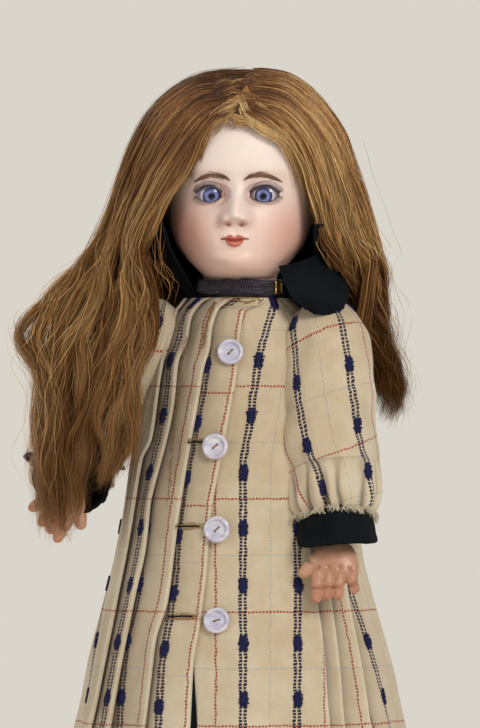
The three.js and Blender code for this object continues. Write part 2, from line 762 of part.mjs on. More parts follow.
function armElastic({ bend }) {
  const start = new THREE.Vector3(0, 0, 0);
  const elbow = new THREE.Vector3(0, 0, -upperArmLength);
  const end = new THREE.Vector3(0, 0, -forearmLength + 8).applyMatrix4(turnedBy(xAxis, -bend)).add(elbow);
  return rod(start, elbow, elasticRadius, 8).add(rod(elbow, end, elasticRadius, 8)).add(
    ball(elasticRadius, elbow, 8),
  );
}

// Legs
function hipBall(side) {
  const upWay = new THREE.Vector3().subVectors(legElasticKnee, hip).setLength(16);
  const centre = new THREE.Vector3();
  const ways = [mirrored(upWay, side), new THREE.Vector3(0, 0, -16)];
  const cuts = ways.map((way) => rod(centre, way, channelRadius + 0.4, 6));
  cuts.push(ball(channelRadius + 0.4, centre, 6));
  return cutAll(ball(hipBallRadius), cuts);
}

function kneeBall() {
  const channel = rod(new THREE.Vector3(0, 0, 12), new THREE.Vector3(0, 0, -12), channelRadius, 8);
  return ball(kneeBallRadius).subtract(channel);
}

function thigh() {
  const stations = [
    [8, 9.6], [16, 13], [34, 14.2], [thighLength - 16, 10.4], [thighLength - 6.4, 6.8],
  ];
  return limb(stations, 4, [[0, hipBallRadius], [thighLength, kneeBallRadius]]);
}

const kneeHeight = hip.z - thighLength;
const stockingGap = gap;
const stockingThickness = 0.9;
const shoeHeight = 24;

// Rings across a foot or shoe: place forward of the ankle, half width, middle height and half height
function footLoft(rings, offset, sides = 8) {
  const last = rings.length - 1;
  return solidOf(loft(rings.map(([ahead, halfWidth, middle, halfHeight], i) => {
    const end = (i === last ? offset : 0) - (i === 0 ? offset : 0);
    return Array.from({ length: sides }, (_, j) => {
      const angle = (2 * Math.PI * j) / sides;
      const x = (halfWidth + offset) * Math.cos(angle);
      return new THREE.Vector3(x, -(ahead + end), middle + (halfHeight + offset) * Math.sin(angle));
    });
  })));
}

const footRings = [
  [-10, 4.5, 12, 5], [-7, 7, 12.5, 8], [4, 7.6, 12, 7.8],
  [14, 8, 10, 5.6], [24, 7.4, 8.4, 4], [28, 4.4, 8, 2.8],
];
const shoeRings = [
  [-15, 5, 9, 8], [-11.5, 9, 10, 13], [2, 10.4, 10, 14],
  [12, 11, 8.6, 12], [24, 10.4, 6.6, 9.4], [31, 6, 5.4, 6.4],
];
const legStations = [[6.4, 6.8], [14, 9.4], [30, 10.8], [50, 10.2], [75, 7.6], [92, 6.4], [104, 6.8]];

// Lower leg and foot together, in world heights with the leg on the axis
function legSolid(offset) {
  const stations = legStations.map(([below, radius], i) => [below - (i === 0 ? offset : 0), radius + offset]);
  const shank = turned(stations, 8).translate(0, 0, kneeHeight);
  return solidOf(shank).add(footLoft(footRings, offset));
}

function lowerLeg() {
  const cuts = [
    rod(new THREE.Vector3(0, 0, kneeHeight), new THREE.Vector3(0, 0, kneeHeight - 34), 4, 8),
    ball(socketRadius(kneeBallRadius), new THREE.Vector3(0, 0, kneeHeight)),
  ];
  return cutAll(legSolid(0), cuts);
}

function stocking() {
  const skin = legSolid(stockingGap + stockingThickness);
  const high = box(new THREE.Vector3(-30, -60, kneeHeight - 20), new THREE.Vector3(30, 60, kneeHeight + 20));
  return cutAll(skin, [legSolid(stockingGap), high]);
}

function shoe() {
  const below = box(new THREE.Vector3(-30, -60, -20), new THREE.Vector3(30, 60, 0));
  const above = box(new THREE.Vector3(-30, -60, shoeHeight - 3), new THREE.Vector3(30, 60, shoeHeight + 20));
  const collar = rod(new THREE.Vector3(0, 0, 12), new THREE.Vector3(0, 0, shoeHeight), 9.6, 16);
  const foot = legSolid(stockingGap + stockingThickness + gap);
  return cutAll(footLoft(shoeRings, 0, 10).subtract(above).add(collar), [foot, below]);
}

function legCord() {
  return rod(new THREE.Vector3(), new THREE.Vector3(0, 0, -thighLength - 26), elasticRadius, 8);
}

// Velvet collar that stands round the back of the neck, open at the front.
// Sections are height, radius, and the angles from the front where it starts on the left and right sides
const collarSections = [
  [neckline + gap, 21.2, 98, 60], [366, 26, 90, 56], [377, 33, 64, 54], [389, 38, 50, 52],
];
const collarBack = 2;
const collarColumns = 14;
function collarPoint(angle, z, radius) {
  return new THREE.Vector3(
    radius * Math.sin(radians(angle)),
    collarBack - radius * Math.cos(radians(angle)),
    z,
  );
}

function velvetCollar() {
  const grid = (drop) => collarSections.map(([z, radius, left, right]) => (
    Array.from({ length: collarColumns + 1 }, (_, j) => {
      const angle = THREE.MathUtils.lerp(left, 360 - right, j / collarColumns);
      return collarPoint(angle, z, radius - drop);
    })));
  return cutAll(solidOf(sheet(grid(0), grid(velvetThickness))), [headSolid(2 * gap), neckRibbonRoom()]);
}

// Room round the collar that the lappet keeps clear of
function collarStand() {
  const top = collarSections[collarSections.length - 1][0];
  const bottom = neckline - 4;
  const outside = collarSections.map(([z, radius]) => [radius + gap + 0.4, z]);
  const profile = [[2, bottom], ...outside, [2, top], [2, bottom]];
  const points = profile.map(([radius, z]) => new THREE.Vector2(radius, z));
  return solidOf(new THREE.LatheGeometry(points, 24).rotateX(Math.PI / 2).translate(0, collarBack, 0));
}

// Velvet flap that hangs from the collar over the left shoulder
function collarLappet() {
  const rows = [
    [[28, -25, 354.5], [36, -22, 350.5], [44, -19, 351], [48, -10, 355]],
    [[24, -23, 361], [33, -20.5, 361], [41, -17, 362], [46, -8, 363]],
    [[20, -20, 368.5], [29, -17, 370], [37, -12, 372], [41, -5, 374]],
  ];
  const outer = rows.map((row) => row.map(([x, y, z]) => new THREE.Vector3(x, y, z)));
  const back = new THREE.Vector3(-0.8, 1.6, -0.4);
  const inner = outer.map((row) => row.map((p) => p.clone().add(back)));
  return solidOf(sheet(outer, inner));
}

const ribbonLow = 358.6;
const ribbonWidth = 7.4;
const ribbonHigh = ribbonLow + ribbonWidth;
const ribbonRadius = 19.4;
const ribbonThickness = 1.6;
function ribbonBand(outer, inner) {
  const corners = [[inner, ribbonLow], [outer, ribbonLow], [outer, ribbonHigh], [inner, ribbonHigh]];
  const profile = [...corners, corners[0]];
  const points = profile.map(([r, z]) => new THREE.Vector2(r, z));
  return solidOf(new THREE.LatheGeometry(points, 20).rotateX(Math.PI / 2));
}

function neckRibbonRoom() {
  return ribbonBand(ribbonRadius + gap, 2);
}

function neckRibbon() {
  return ribbonBand(ribbonRadius, ribbonRadius - ribbonThickness).subtract(headSolid(gap));
}

// A small piece on the ribbon, at an angle from the front and a height
function onRibbon(geometry, angle, z, out) {
  const reach = ribbonRadius + gap + out;
  geometry.rotateZ(radians(angle));
  return geometry.translate(reach * Math.sin(radians(angle)), -reach * Math.cos(radians(angle)), z);
}

const slideSize = [4.6, 1.8, 5.4];
function ribbonSlide(clearance = 0) {
  const [width, depth, height] = slideSize.map((size) => size + 2 * clearance);
  return onRibbon(new THREE.BoxGeometry(width, depth, height), 54, ribbonLow + 4, 1.2);
}

function ribbonKnot() {
  const knot = new THREE.SphereGeometry(1, 12, 8).scale(3.2, 2.4, 3.4);
  return onRibbon(knot, 74, ribbonLow + 4.2, 2.9);
}

// Two-hole pearl button with a raised rim, facing -Y
function buttonShape() {
  const [r, t] = [buttonRadius, buttonThickness];
  const profile = [[r * 0.7, 0], [r, t * 0.5], [r * 0.94, t * 0.95], [r * 0.84, t], [r * 0.68, t * 0.68]];
  const disc = solidOf(turned(profile.map(([radius, rise]) => [-rise, radius]), 12).rotateX(Math.PI / 2));
  const holes = [-1, 1].map((side) => (
    rod(new THREE.Vector3(side * 1.1, 1, 0), new THREE.Vector3(side * 1.1, -t - 1, 0), 0.55, 4)));
  return cutAll(disc, holes);
}

// Each button's place across, its height, and the lift of the cloth that it is sewn on
const buttons = [[-4, 334, flapLift], [-10.1, 293, flapLift], [-9.5, 257, flapLift], [-9.9, 217.5, 0]];

function buttonOnDress([x, z, lift]) {
  const halfWidth = sectionAt(dressSections, z, 1);
  const angle = THREE.MathUtils.radToDeg(Math.asin(x / halfWidth));
  const seat = dressPoint(angle, z, lift + gap + 0.35);
  const aside = dressPoint(angle + 3, z, lift).sub(dressPoint(angle - 3, z, lift));
  const upward = dressPoint(angle, z + 6, lift).sub(dressPoint(angle, z - 6, lift));
  const out = new THREE.Vector3().crossVectors(aside, upward).normalize();
  const turn = new THREE.Quaternion().setFromUnitVectors(new THREE.Vector3(0, -1, 0), out);
  const matrix = new THREE.Matrix4().compose(seat, turn, new THREE.Vector3(1, 1, 1));
  return placed(buttonShape(), matrix);
}

// Assembly
const doll = new THREE.Group();

function frameGroup(matrix, parts) {
  const group = new THREE.Group();
  group.applyMatrix4(matrix);
  group.add(...parts);
  doll.add(group);
}

const headFrame = turnedBy(new THREE.Vector3(0, 0, 1), headTurn);
frameGroup(headFrame, [
  part('bisque_head', bisqueHead(), bisque()),
  part('right_eye', ball(eyeRadius, eyeAt(-1)), glass()),
  part('left_eye', ball(eyeRadius, eyeAt(1)), glass()),
  part('eye_plaster', eyePlaster(), plaster()),
  part('cork_pate', corkPate(), cork()),
  part('wig_cap', wigCap(), gauze()),
  part('neck_button', neckButton(), wood()),
]);

const bodyCuts = [
  sleeveSolid('left', gap), sleeveSolid('right', gap), cuffSolid('left', gap), cuffSolid('right', gap),
];
const frontCuts = [...bodyCuts, torsoSolid(gap), solidOf(ribbonSlide(gap))];
const bodice = solidOf(bodyLoft(dressSections.slice(3), pleatRise + gap, 24));
const hairCuts = [...bodyCuts, bodice, collarRoom(), placed(headSolid(2), headFrame)];
const rightHair = lock(rightFall);
const leftHair = lock(leftFall);
const besideLeftHair = lock(leftFall.map(([z, x, y, halfWidth, halfDepth]) => (
  [z, x, y, halfWidth + gap, halfDepth + gap])));

doll.add(
  part('wig_crown', placed(wigCrown(), headFrame), hair()),
  part('wig_right_fall', cutAll(rightHair, hairCuts), hair()),
  part('wig_left_fall', cutAll(leftHair, hairCuts), hair()),
  part('wig_back_fall', cutAll(lock(backFall), [...hairCuts, besideLeftHair]), hair()),
  part('neck_hook', neckHook(), iron()),
  part('torso', torso(), composition()),
  part('chest_elastic', chestElastic(), elastic()),
  part('leg_elastic', legElastic(), elastic()),
  part('dress_right_front', cutAll(rightFrontPanel(), frontCuts), wool()),
  part('dress_left_front', cutAll(leftFrontPanel(), frontCuts), wool()),
  part('dress_back', cutAll(backPanel(), [...bodyCuts, torsoSolid(gap)]), wool()),
  part('velvet_collar', velvetCollar(), velvet()),
  part('collar_lappet', cutAll(collarLappet(), [...bodyCuts, bodice, collarStand()]), velvet()),
  part('neck_ribbon', neckRibbon(), silk()),
  part('ribbon_slide', ribbonSlide(), brass()),
  part('ribbon_knot', ribbonKnot(), velvet()),
);
buttons.forEach((place, i) => doll.add(part(`button_${i + 1}`, buttonOnDress(place), pearl())));

Object.entries(armPoses).forEach(([name, pose]) => {
  const frames = armFrames(pose);
  frameGroup(frames.ballFrame, [part(`${name}_shoulder_ball`, shoulderBall(pose), wood())]);
  frameGroup(frames.upper, [
    part(`${name}_upper_arm`, upperArm(), composition()),
    part(`${name}_arm_elastic`, armElastic(pose), elastic()),
  ]);
  frameGroup(frames.elbow, [
    part(`${name}_elbow_ball`, elbowBall(pose), wood()),
    part(`${name}_forearm`, forearm(), composition()),
  ]);
  frameGroup(frames.hand, [part(`${name}_hand`, hand(pose.side), composition())]);
  doll.add(part(`${name}_sleeve`, sleeve(name), wool()), part(`${name}_cuff`, cuff(name), velvet()));
});

[['right', -1], ['left', 1]].forEach(([name, side]) => {
  frameGroup(moved(side * hip.x, hip.y, hip.z), [
    part(`${name}_hip_ball`, hipBall(side), wood()),
    part(`${name}_thigh`, thigh(), composition()),
    part(`${name}_leg_cord`, legCord(), elastic()),
  ]);
  frameGroup(moved(side * hip.x, hip.y, 0), [
    part(`${name}_knee_ball`, placed(kneeBall(), moved(0, 0, kneeHeight)), wood()),
    part(`${name}_lower_leg`, lowerLeg(), composition()),
    part(`${name}_stocking`, stocking(), knit()),
    part(`${name}_shoe`, shoe(), leather()),
  ]);
});

export default doll;
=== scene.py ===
"""Looks of the jointed bisque head doll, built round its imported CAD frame.

Lengths named below are in millimetres. The doll faces -Y and its own left side is +X.
"""
import math

import bpy
import numpy as np
from mathutils import Matrix


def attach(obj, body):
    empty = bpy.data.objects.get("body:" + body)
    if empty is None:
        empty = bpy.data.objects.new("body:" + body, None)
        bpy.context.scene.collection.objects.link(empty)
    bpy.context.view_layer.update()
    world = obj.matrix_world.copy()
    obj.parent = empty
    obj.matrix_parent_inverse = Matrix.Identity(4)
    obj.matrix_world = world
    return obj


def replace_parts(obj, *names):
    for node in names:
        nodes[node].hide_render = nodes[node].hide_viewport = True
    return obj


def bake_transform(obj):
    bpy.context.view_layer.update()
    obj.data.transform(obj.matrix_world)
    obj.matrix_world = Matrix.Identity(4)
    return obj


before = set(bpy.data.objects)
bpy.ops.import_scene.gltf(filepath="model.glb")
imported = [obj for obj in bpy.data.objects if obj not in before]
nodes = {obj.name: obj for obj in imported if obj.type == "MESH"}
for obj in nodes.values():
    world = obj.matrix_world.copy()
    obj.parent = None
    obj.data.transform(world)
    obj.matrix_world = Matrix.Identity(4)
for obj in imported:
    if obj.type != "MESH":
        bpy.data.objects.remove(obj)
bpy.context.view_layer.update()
rng = np.random.default_rng(7)
MM = 0.001
DEG = math.pi / 180

# Camera: level with the chest, its frame 0.44 mm to a pixel at the doll's middle plane
PIXEL = 0.44
CAMERA_FAR = 3000.0
CAMERA_HEIGHT = 329.0
IMAGE_WIDE, IMAGE_HIGH = 480, 728
TOP_Z = 489.0
SENSOR = 36.0


def make_camera():
    data = bpy.data.cameras.new("camera")
    data.sensor_fit = "VERTICAL"
    data.sensor_height = SENSOR
    data.lens = SENSOR * CAMERA_FAR / (IMAGE_HIGH * PIXEL)
    camera = link(bpy.data.objects.new("camera", data))
    camera.location = (0, -CAMERA_FAR * MM, CAMERA_HEIGHT * MM)
    camera.rotation_euler = (90 * DEG, 0, 0)
    bpy.context.scene.camera = camera


def at_pixel(px, py, y):
    """Place (x, y, z) that shows at a pixel, at a depth y."""
    nearer = (CAMERA_FAR + y) / CAMERA_FAR
    x = (px - IMAGE_WIDE / 2) * PIXEL * nearer
    z = CAMERA_HEIGHT + (TOP_Z - PIXEL * py - CAMERA_HEIGHT) * nearer
    return np.array([x, y, z])


def to_pixel(points):
    """Pixels across and down at which points show."""
    nearer = (CAMERA_FAR + points[..., 1]) / CAMERA_FAR
    across = points[..., 0] / (PIXEL * nearer) + IMAGE_WIDE / 2
    down = (TOP_Z - CAMERA_HEIGHT - (points[..., 2] - CAMERA_HEIGHT) / nearer) / PIXEL
    return across, down


# Curves, grids and meshes
def smooth(x, knots, values):
    """Monotone cubic curve through the knots, level beyond them."""
    knots, values = np.asarray(knots, float), np.asarray(values, float)
    step = np.diff(knots)
    slope = np.diff(values) / step
    both = slope[1:] * slope[:-1]
    inner = np.where(both > 0, 2 * both / (slope[1:] + slope[:-1] + 1e-12), 0)
    tangent = np.concatenate([slope[:1], inner, slope[-1:]])
    i = np.clip(np.searchsorted(knots, x) - 1, 0, len(step) - 1)
    t = np.clip((x - knots[i]) / step[i], 0, 1)
    a = (1 + 2 * t) * (1 - t) ** 2 * values[i] + t * (1 - t) ** 2 * step[i] * tangent[i]
    return a + t * t * (3 - 2 * t) * values[i + 1] + t * t * (t - 1) * step[i] * tangent[i + 1]


def section(sections, z, column):
    """Value of one column of a list of sections at heights z."""
    rows = np.asarray(sections, float)
    return smooth(np.asarray(z, float), rows[:, 0], rows[:, column])


def path(points, t):
    """Points at t, from 0 to 1, along a smooth line through the given points."""
    points = np.asarray(points, float)
    t, knots = np.asarray(t, float), np.linspace(0, 1, len(points))
    return np.stack([smooth(t, knots, column) for column in points.T], axis=-1)


def bump(distance, spread):
    """Bell curve, 1 at no distance."""
    return np.exp(-0.5 * (np.asarray(distance) / spread) ** 2)


def ramp(x, low, high):
    """Smooth step from 0 at low to 1 at high."""
    t = np.clip((np.asarray(x, float) - low) / (high - low), 0, 1)
    return t * t * (3 - 2 * t)


def waves(u, v, seed, octaves=3):
    """Smooth two-way noise between about -1 and 1, the same each run."""
    turn = np.random.default_rng(seed)
    total = np.zeros(np.broadcast(u, v).shape)
    for k in range(octaves):
        for _ in range(3):
            angle, phase = turn.uniform(0, 2 * math.pi, 2)
            rate = 2.0 ** k * turn.uniform(0.8, 1.2)
            along = rate * (u * math.cos(angle) + v * math.sin(angle))
            total += np.sin(along * 2 * math.pi + phase) / (3 * 1.6 ** k)
    return total


def once_round(count):
    """Angles evenly spaced once round."""
    return np.linspace(0, 2 * math.pi, count, endpoint=False)


def unit(way):
    return way / np.linalg.norm(way)


def run_along(grid):
    """Distance from the first point along each row of a grid."""
    steps = np.linalg.norm(np.diff(grid, axis=1), axis=2)
    return np.concatenate([0 * grid[:, :1, 0], np.cumsum(steps, axis=1)], axis=1)


def grid_faces(rows, columns, wrap=False):
    last = columns if wrap else columns - 1
    i, j = np.meshgrid(np.arange(rows - 1), np.arange(last), indexing="ij")
    a = i * columns + j
    b = i * columns + (j + 1) % columns
    return np.stack([a, b, b + columns, a + columns], axis=-1).reshape(-1, 4)


def link(made):
    bpy.context.scene.collection.objects.link(made)
    return made


def mesh_object(name, points, faces, material=None):
    """A smooth-shaded object from points in millimetres and four-sided faces."""
    points = np.asarray(points, np.float32).reshape(-1, 3)
    faces = np.asarray(faces, np.int32)
    mesh = bpy.data.meshes.new(name)
    mesh.vertices.add(len(points))
    mesh.vertices.foreach_set("co", (points * MM).ravel())
    mesh.loops.add(faces.size)
    mesh.loops.foreach_set("vertex_index", faces.ravel())
    mesh.polygons.add(len(faces))
    mesh.polygons.foreach_set("loop_start", np.arange(len(faces), dtype=np.int32) * faces.shape[1])
    mesh.polygons.foreach_set("use_smooth", np.ones(len(faces), bool))
    mesh.update(calc_edges=True)
    mesh.validate()
    if material:
        mesh.materials.append(material)
    return link(bpy.data.objects.new(name, mesh))


def mesh_points(made):
    """An object's points in millimetres."""
    flat = np.empty(len(made.data.vertices) * 3, np.float32)
    made.data.vertices.foreach_get("co", flat)
    return flat.reshape(-1, 3).astype(float) / MM


def move_points(made, points):
    """Gives an object new points in millimetres and smooth shading."""
    made.data.vertices.foreach_set("co", (points * MM).astype(np.float32).ravel())
    made.data.polygons.foreach_set("use_smooth", np.ones(len(made.data.polygons), bool))
    made.data.update()


def weave_points(made, places):
    """Place on the flat cloth, in millimetres, for each point, read by the material as 'weave'; a third value
    above zero is painted shade and below zero painted highlight.
    """
    layer = made.data.attributes.new("weave", "FLOAT_VECTOR", "POINT")
    layer.data.foreach_set("vector", np.asarray(places, np.float32).ravel())


def paint_points(made, colours):
    """Linear colour for each point, read by the material as 'tint'."""
    layer = made.data.color_attributes.new("tint", "FLOAT_COLOR", "POINT")
    rgba = np.ones((len(made.data.vertices), 4), np.float32)
    rgba[:, :3] = colours
    layer.data.foreach_set("color", rgba.ravel())


def capped(rings):
    """Rings with both ends closed by rings drawn to their middles."""
    first, last = (end.mean(axis=1, keepdims=True) + 0 * end for end in (rings[:1], rings[-1:]))
    return np.concatenate([first, rings, last])


def grid_object(name, grid, material=None, wrap=False, caps=False):
    """An object from a grid of points, rows first, open or with its two end rings closed."""
    grid = np.asarray(grid, float)
    grid = capped(grid) if caps else grid
    return mesh_object(name, grid, grid_faces(*grid.shape[:2], wrap), material)


def join(name, objects):
    """One object from several, keeping their materials."""
    bpy.ops.object.select_all(action="DESELECT")
    for each in objects:
        each.select_set(True)
    bpy.context.view_layer.objects.active = objects[0]
    bpy.ops.object.join()
    objects[0].name = objects[0].data.name = name
    return objects[0]


def apply(made, kind, **settings):
    """Adds one modifier with its settings and applies it."""
    modifier = made.modifiers.new("step", kind)
    for key, value in settings.items():
        setattr(modifier, key, value)
    bpy.ops.object.select_all(action="DESELECT")
    made.select_set(True)
    bpy.context.view_layer.objects.active = made
    bpy.ops.object.modifier_apply(modifier=modifier.name)
    return made


def tubes(name, lines, radii, material=None, sides=6):
    """Round tubes along smooth lines, closed at both ends, as one object."""
    points, faces, used = [], [], 0
    for line, radius in zip(lines, radii):
        line = np.asarray(line, float)
        along = np.gradient(line, axis=0)
        along /= np.linalg.norm(along, axis=1, keepdims=True) + 1e-9
        side = np.cross(along, [0.13, 0.21, 0.97])
        side /= np.linalg.norm(side, axis=1, keepdims=True) + 1e-9
        other = np.cross(along, side)
        angle = once_round(sides)[None, :, None]
        reach = np.broadcast_to(np.asarray(radius, float), (len(line),))[:, None, None]
        ring = np.cos(angle) * side[:, None] + np.sin(angle) * other[:, None]
        rings = capped(line[:, None] + reach * ring)
        points.append(rings.reshape(-1, 3))
        faces.append(grid_faces(len(rings), sides, wrap=True) + used)
        used += len(points[-1])
    return mesh_object(name, np.concatenate(points), np.concatenate(faces), material)


# Materials
def linear(code):
    """Linear colour of a six-figure hex code."""
    channels = np.array([int(code[k:k + 2], 16) for k in (0, 2, 4)]) / 255
    return tuple(np.where(channels <= 0.04045, channels / 12.92, ((channels + 0.055) / 1.055) ** 2.4))


class Paint:
    """A material, with short calls that add nodes to it."""

    def __init__(self, name, colour="808080", **settings):
        self.material = bpy.data.materials.new(name)
        self.material.use_nodes = True
        self.tree = self.material.node_tree
        self.shader = self.tree.nodes["Principled BSDF"]
        self.shader.inputs["Base Color"].default_value = (*linear(colour), 1)
        for key, value in settings.items():
            self.shader.inputs[key.replace("_", " ")].default_value = value

    def node(self, kind, inputs=(), **settings):
        made = self.tree.nodes.new("ShaderNode" + kind)
        for key, value in settings.items():
            setattr(made, key, value)
        for key, value in dict(inputs).items():
            self.set(made.inputs[key], value)
        return made

    def set(self, socket, value):
        if isinstance(value, bpy.types.NodeSocket):
            self.tree.links.new(value, socket)
        elif isinstance(value, str):
            socket.default_value = (*linear(value), 1)
        else:
            socket.default_value = value

    def math(self, operation, *values):
        return self.node("Math", enumerate(values), operation=operation).outputs[0]

    def mix(self, share, one, other, blend="MIX"):
        inputs = {0: share, 6: one, 7: other}
        return self.node("Mix", inputs, data_type="RGBA", blend_type=blend).outputs[2]

    def place(self):
        return self.node("TexCoord").outputs["Object"]

    def weave(self):
        """Place on the flat cloth as its three values, the third being painted shade and highlight."""
        place = self.node("Attribute", attribute_name="weave").outputs["Vector"]
        return self.node("SeparateXYZ", {0: place}).outputs

    def noise(self, scale, detail, stretch=None):
        vector = self.place()
        if stretch:
            vector = self.node("Mapping", {"Vector": vector, "Scale": stretch}).outputs[0]
        inputs = {"Vector": vector, "Scale": scale, "Detail": detail}
        return self.node("TexNoise", inputs).outputs["Fac"]

    def span(self, value, low, high, to_low=0.0, to_high=1.0):
        inputs = {0: value, 1: low, 2: high, 3: to_low, 4: to_high}
        return self.node("MapRange", inputs).outputs[0]

    def relief(self, height, depth, strength=1.0):
        """Bump of a depth in millimetres."""
        inputs = {"Height": height, "Distance": depth * MM, "Strength": strength}
        self.set(self.shader.inputs["Normal"], self.node("Bump", inputs).outputs[0])

    def colour(self, socket):
        self.set(self.shader.inputs["Base Color"], socket)

    def roughness(self, socket):
        self.set(self.shader.inputs["Roughness"], socket)

    def tint(self):
        return self.node("VertexColor", layer_name="tint").outputs["Color"]


# Stage: lengths here are in metres
BACKDROP = "dad5cb"
FLOOR_REACH = 6.0
FLOOR_FADES = 0.5, 2.2
WORLD_LIGHT = (0.9, 0.92, 0.95, 1)
WORLD_STRENGTH = 0.34
LAMP_AIM = np.array([0, 0, 0.33])
# Name, place, width and power of each lamp
LAMPS = [
    ("key_lamp", (0.8, -1.2, 1.1), 0.6, 15.0), ("fill_lamp", (-1.2, -1.0, 0.6), 0.95, 4.5),
    ("top_lamp", (-0.1, 0.25, 1.45), 0.9, 7.0), ("back_lamp", (-0.9, 1.0, 0.7), 0.7, 5.0),
]


def make_floor():
    """Pale floor that fades into the even world all round, for the camera alone."""
    floor = Paint("floor_paint", "e9e4dc", Roughness=0.9)
    away = floor.node("VectorMath", {0: floor.place()}, operation="LENGTH").outputs["Value"]
    camera_ray = floor.node("LightPath").outputs["Is Camera Ray"]
    far = floor.math("MULTIPLY", floor.span(away, *FLOOR_FADES), camera_ray)
    even = floor.node("Emission", {"Color": BACKDROP}).outputs[0]
    seen = floor.node("MixShader", {0: far, 1: floor.shader.outputs[0], 2: even}).outputs[0]
    floor.set(floor.tree.nodes["Material Output"].inputs["Surface"], seen)
    edge = np.linspace(-FLOOR_REACH, FLOOR_REACH, 3) / MM
    grid_object("studio_floor", [[(x, y, -0.2) for x in edge] for y in edge], floor.material)


def make_lamps():
    for name, place, size, power in LAMPS:
        data = bpy.data.lights.new(name, "AREA")
        data.size = size
        data.energy = power
        lamp = link(bpy.data.objects.new(name, data))
        lamp.location = place
        aim = LAMP_AIM - np.array(place)
        tilt, turn = math.acos(-aim[2] / np.linalg.norm(aim)), math.atan2(aim[1], aim[0])
        lamp.rotation_euler = (tilt, 0, turn - 90 * DEG)


def make_world():
    """Even pale backdrop for what the camera sees directly or mirrored, and soft light for all else."""
    world = bpy.data.worlds.new("studio_world")
    bpy.context.scene.world = world
    world.use_nodes = True
    tree = world.node_tree
    light = tree.nodes["Background"]
    light.inputs["Color"].default_value = WORLD_LIGHT
    light.inputs["Strength"].default_value = WORLD_STRENGTH
    shown = tree.nodes.new("ShaderNodeBackground")
    shown.inputs["Color"].default_value = (*linear(BACKDROP), 1)
    rays = tree.nodes.new("ShaderNodeLightPath").outputs
    share = rays["Is Camera Ray"]
    for kind in ("Is Glossy Ray", "Is Transmission Ray"):
        either = tree.nodes.new("ShaderNodeMath")
        either.operation = "MAXIMUM"
        tree.links.new(share, either.inputs[0])
        tree.links.new(rays[kind], either.inputs[1])
        share = either.outputs[0]
    mixed = tree.nodes.new("ShaderNodeMixShader")
    for socket, source in zip(mixed.inputs, (share, light.outputs[0], shown.outputs[0])):
        tree.links.new(source, socket)
    tree.links.new(mixed.outputs[0], tree.nodes["World Output"].inputs["Surface"])
    bpy.context.scene.view_settings.view_transform = "Standard"


make_camera()
make_floor()
make_lamps()
make_world()


# Head: sections are height, half width, front depth and back depth, in the head's own frame. An eye opening
# reaches OPENING_WIDE away from the nose and OPENING_INNER towards it, by side; POINTED draws in its corners.
HEAD = [
    (346.3, 6, 6, 6), (350, 11.2, 11.2, 11.2), (355, 14.1, 14.1, 14.1), (360, 15, 15, 15),
    (366.6, 16, 17, 18), (368.2, 16.6, 27, 19), (371, 19.4, 31.6, 22), (376, 24, 34, 28),
    (383.4, 29.0, 34.2, 34), (391, 31.0, 34.4, 38), (399, 31.9, 34.2, 41), (408, 33.2, 34.8, 42.5),
    (418, 35, 35.6, 43), (428, 34.6, 34.8, 41.5), (437, 31.4, 31.5, 37), (445, 24.5, 24.5, 29),
    (450, 15.5, 15.5, 19), (452.4, 4, 4, 5),
]
HEAD_TURN = -4 * DEG
FACE_LOW, FACE_HIGH = 367, 416
EYE = np.array([12.1, -24.6, 402.9])
GAZE_DOWN = 7 * DEG
GAZE_ASIDE = {-1: 7 * DEG, 1: -7 * DEG}
EYE_RADIUS = 7.4
LID_RADIUS = 8.3
OPENING_WIDE, OPENING_UP, OPENING_DOWN = 5.9, 3.75, 3.3
OPENING_INNER = {-1: 5.0, 1: 6.5}
POINTED = 0.34
MOUTH_Z = 383.0
EYES_ASIDE = 1.1


def turned(points, angle=HEAD_TURN):
    """Points turned about the neck's upright axis."""
    points = np.asarray(points, float)
    x = points[..., 0] * math.cos(angle) - points[..., 1] * math.sin(angle)
    y = points[..., 0] * math.sin(angle) + points[..., 1] * math.cos(angle)
    return np.stack([x, y, points[..., 2]], axis=-1)


def on_head(points):
    """Points of the face in the doll's frame: the level of the eyes sits a little to the left of the nose."""
    points = np.array(points, float)
    points[..., 0] += EYES_ASIDE * bump(points[..., 2] - EYE[2] - 2, 10) * ramp(-points[..., 1], 4, 20)
    return turned(points)


def mouth_shape(x):
    """Heights of the upper lip's top, the closed line and the lower lip's bottom."""
    ax = np.abs(x)
    line = MOUTH_Z - 0.35 * bump(x, 1.6) + 0.25 * bump(ax - 5, 1.5)
    top = line + 2.3 * np.sqrt(np.clip(1 - (ax / 6.1) ** 2, 0, 1)) * (0.55 + 0.55 * bump(ax - 1.9, 1.1))
    bottom = line - 2.9 * np.clip(1 - (ax / 4.2) ** 2.6, 0, 1) ** 0.7
    return top, line, bottom


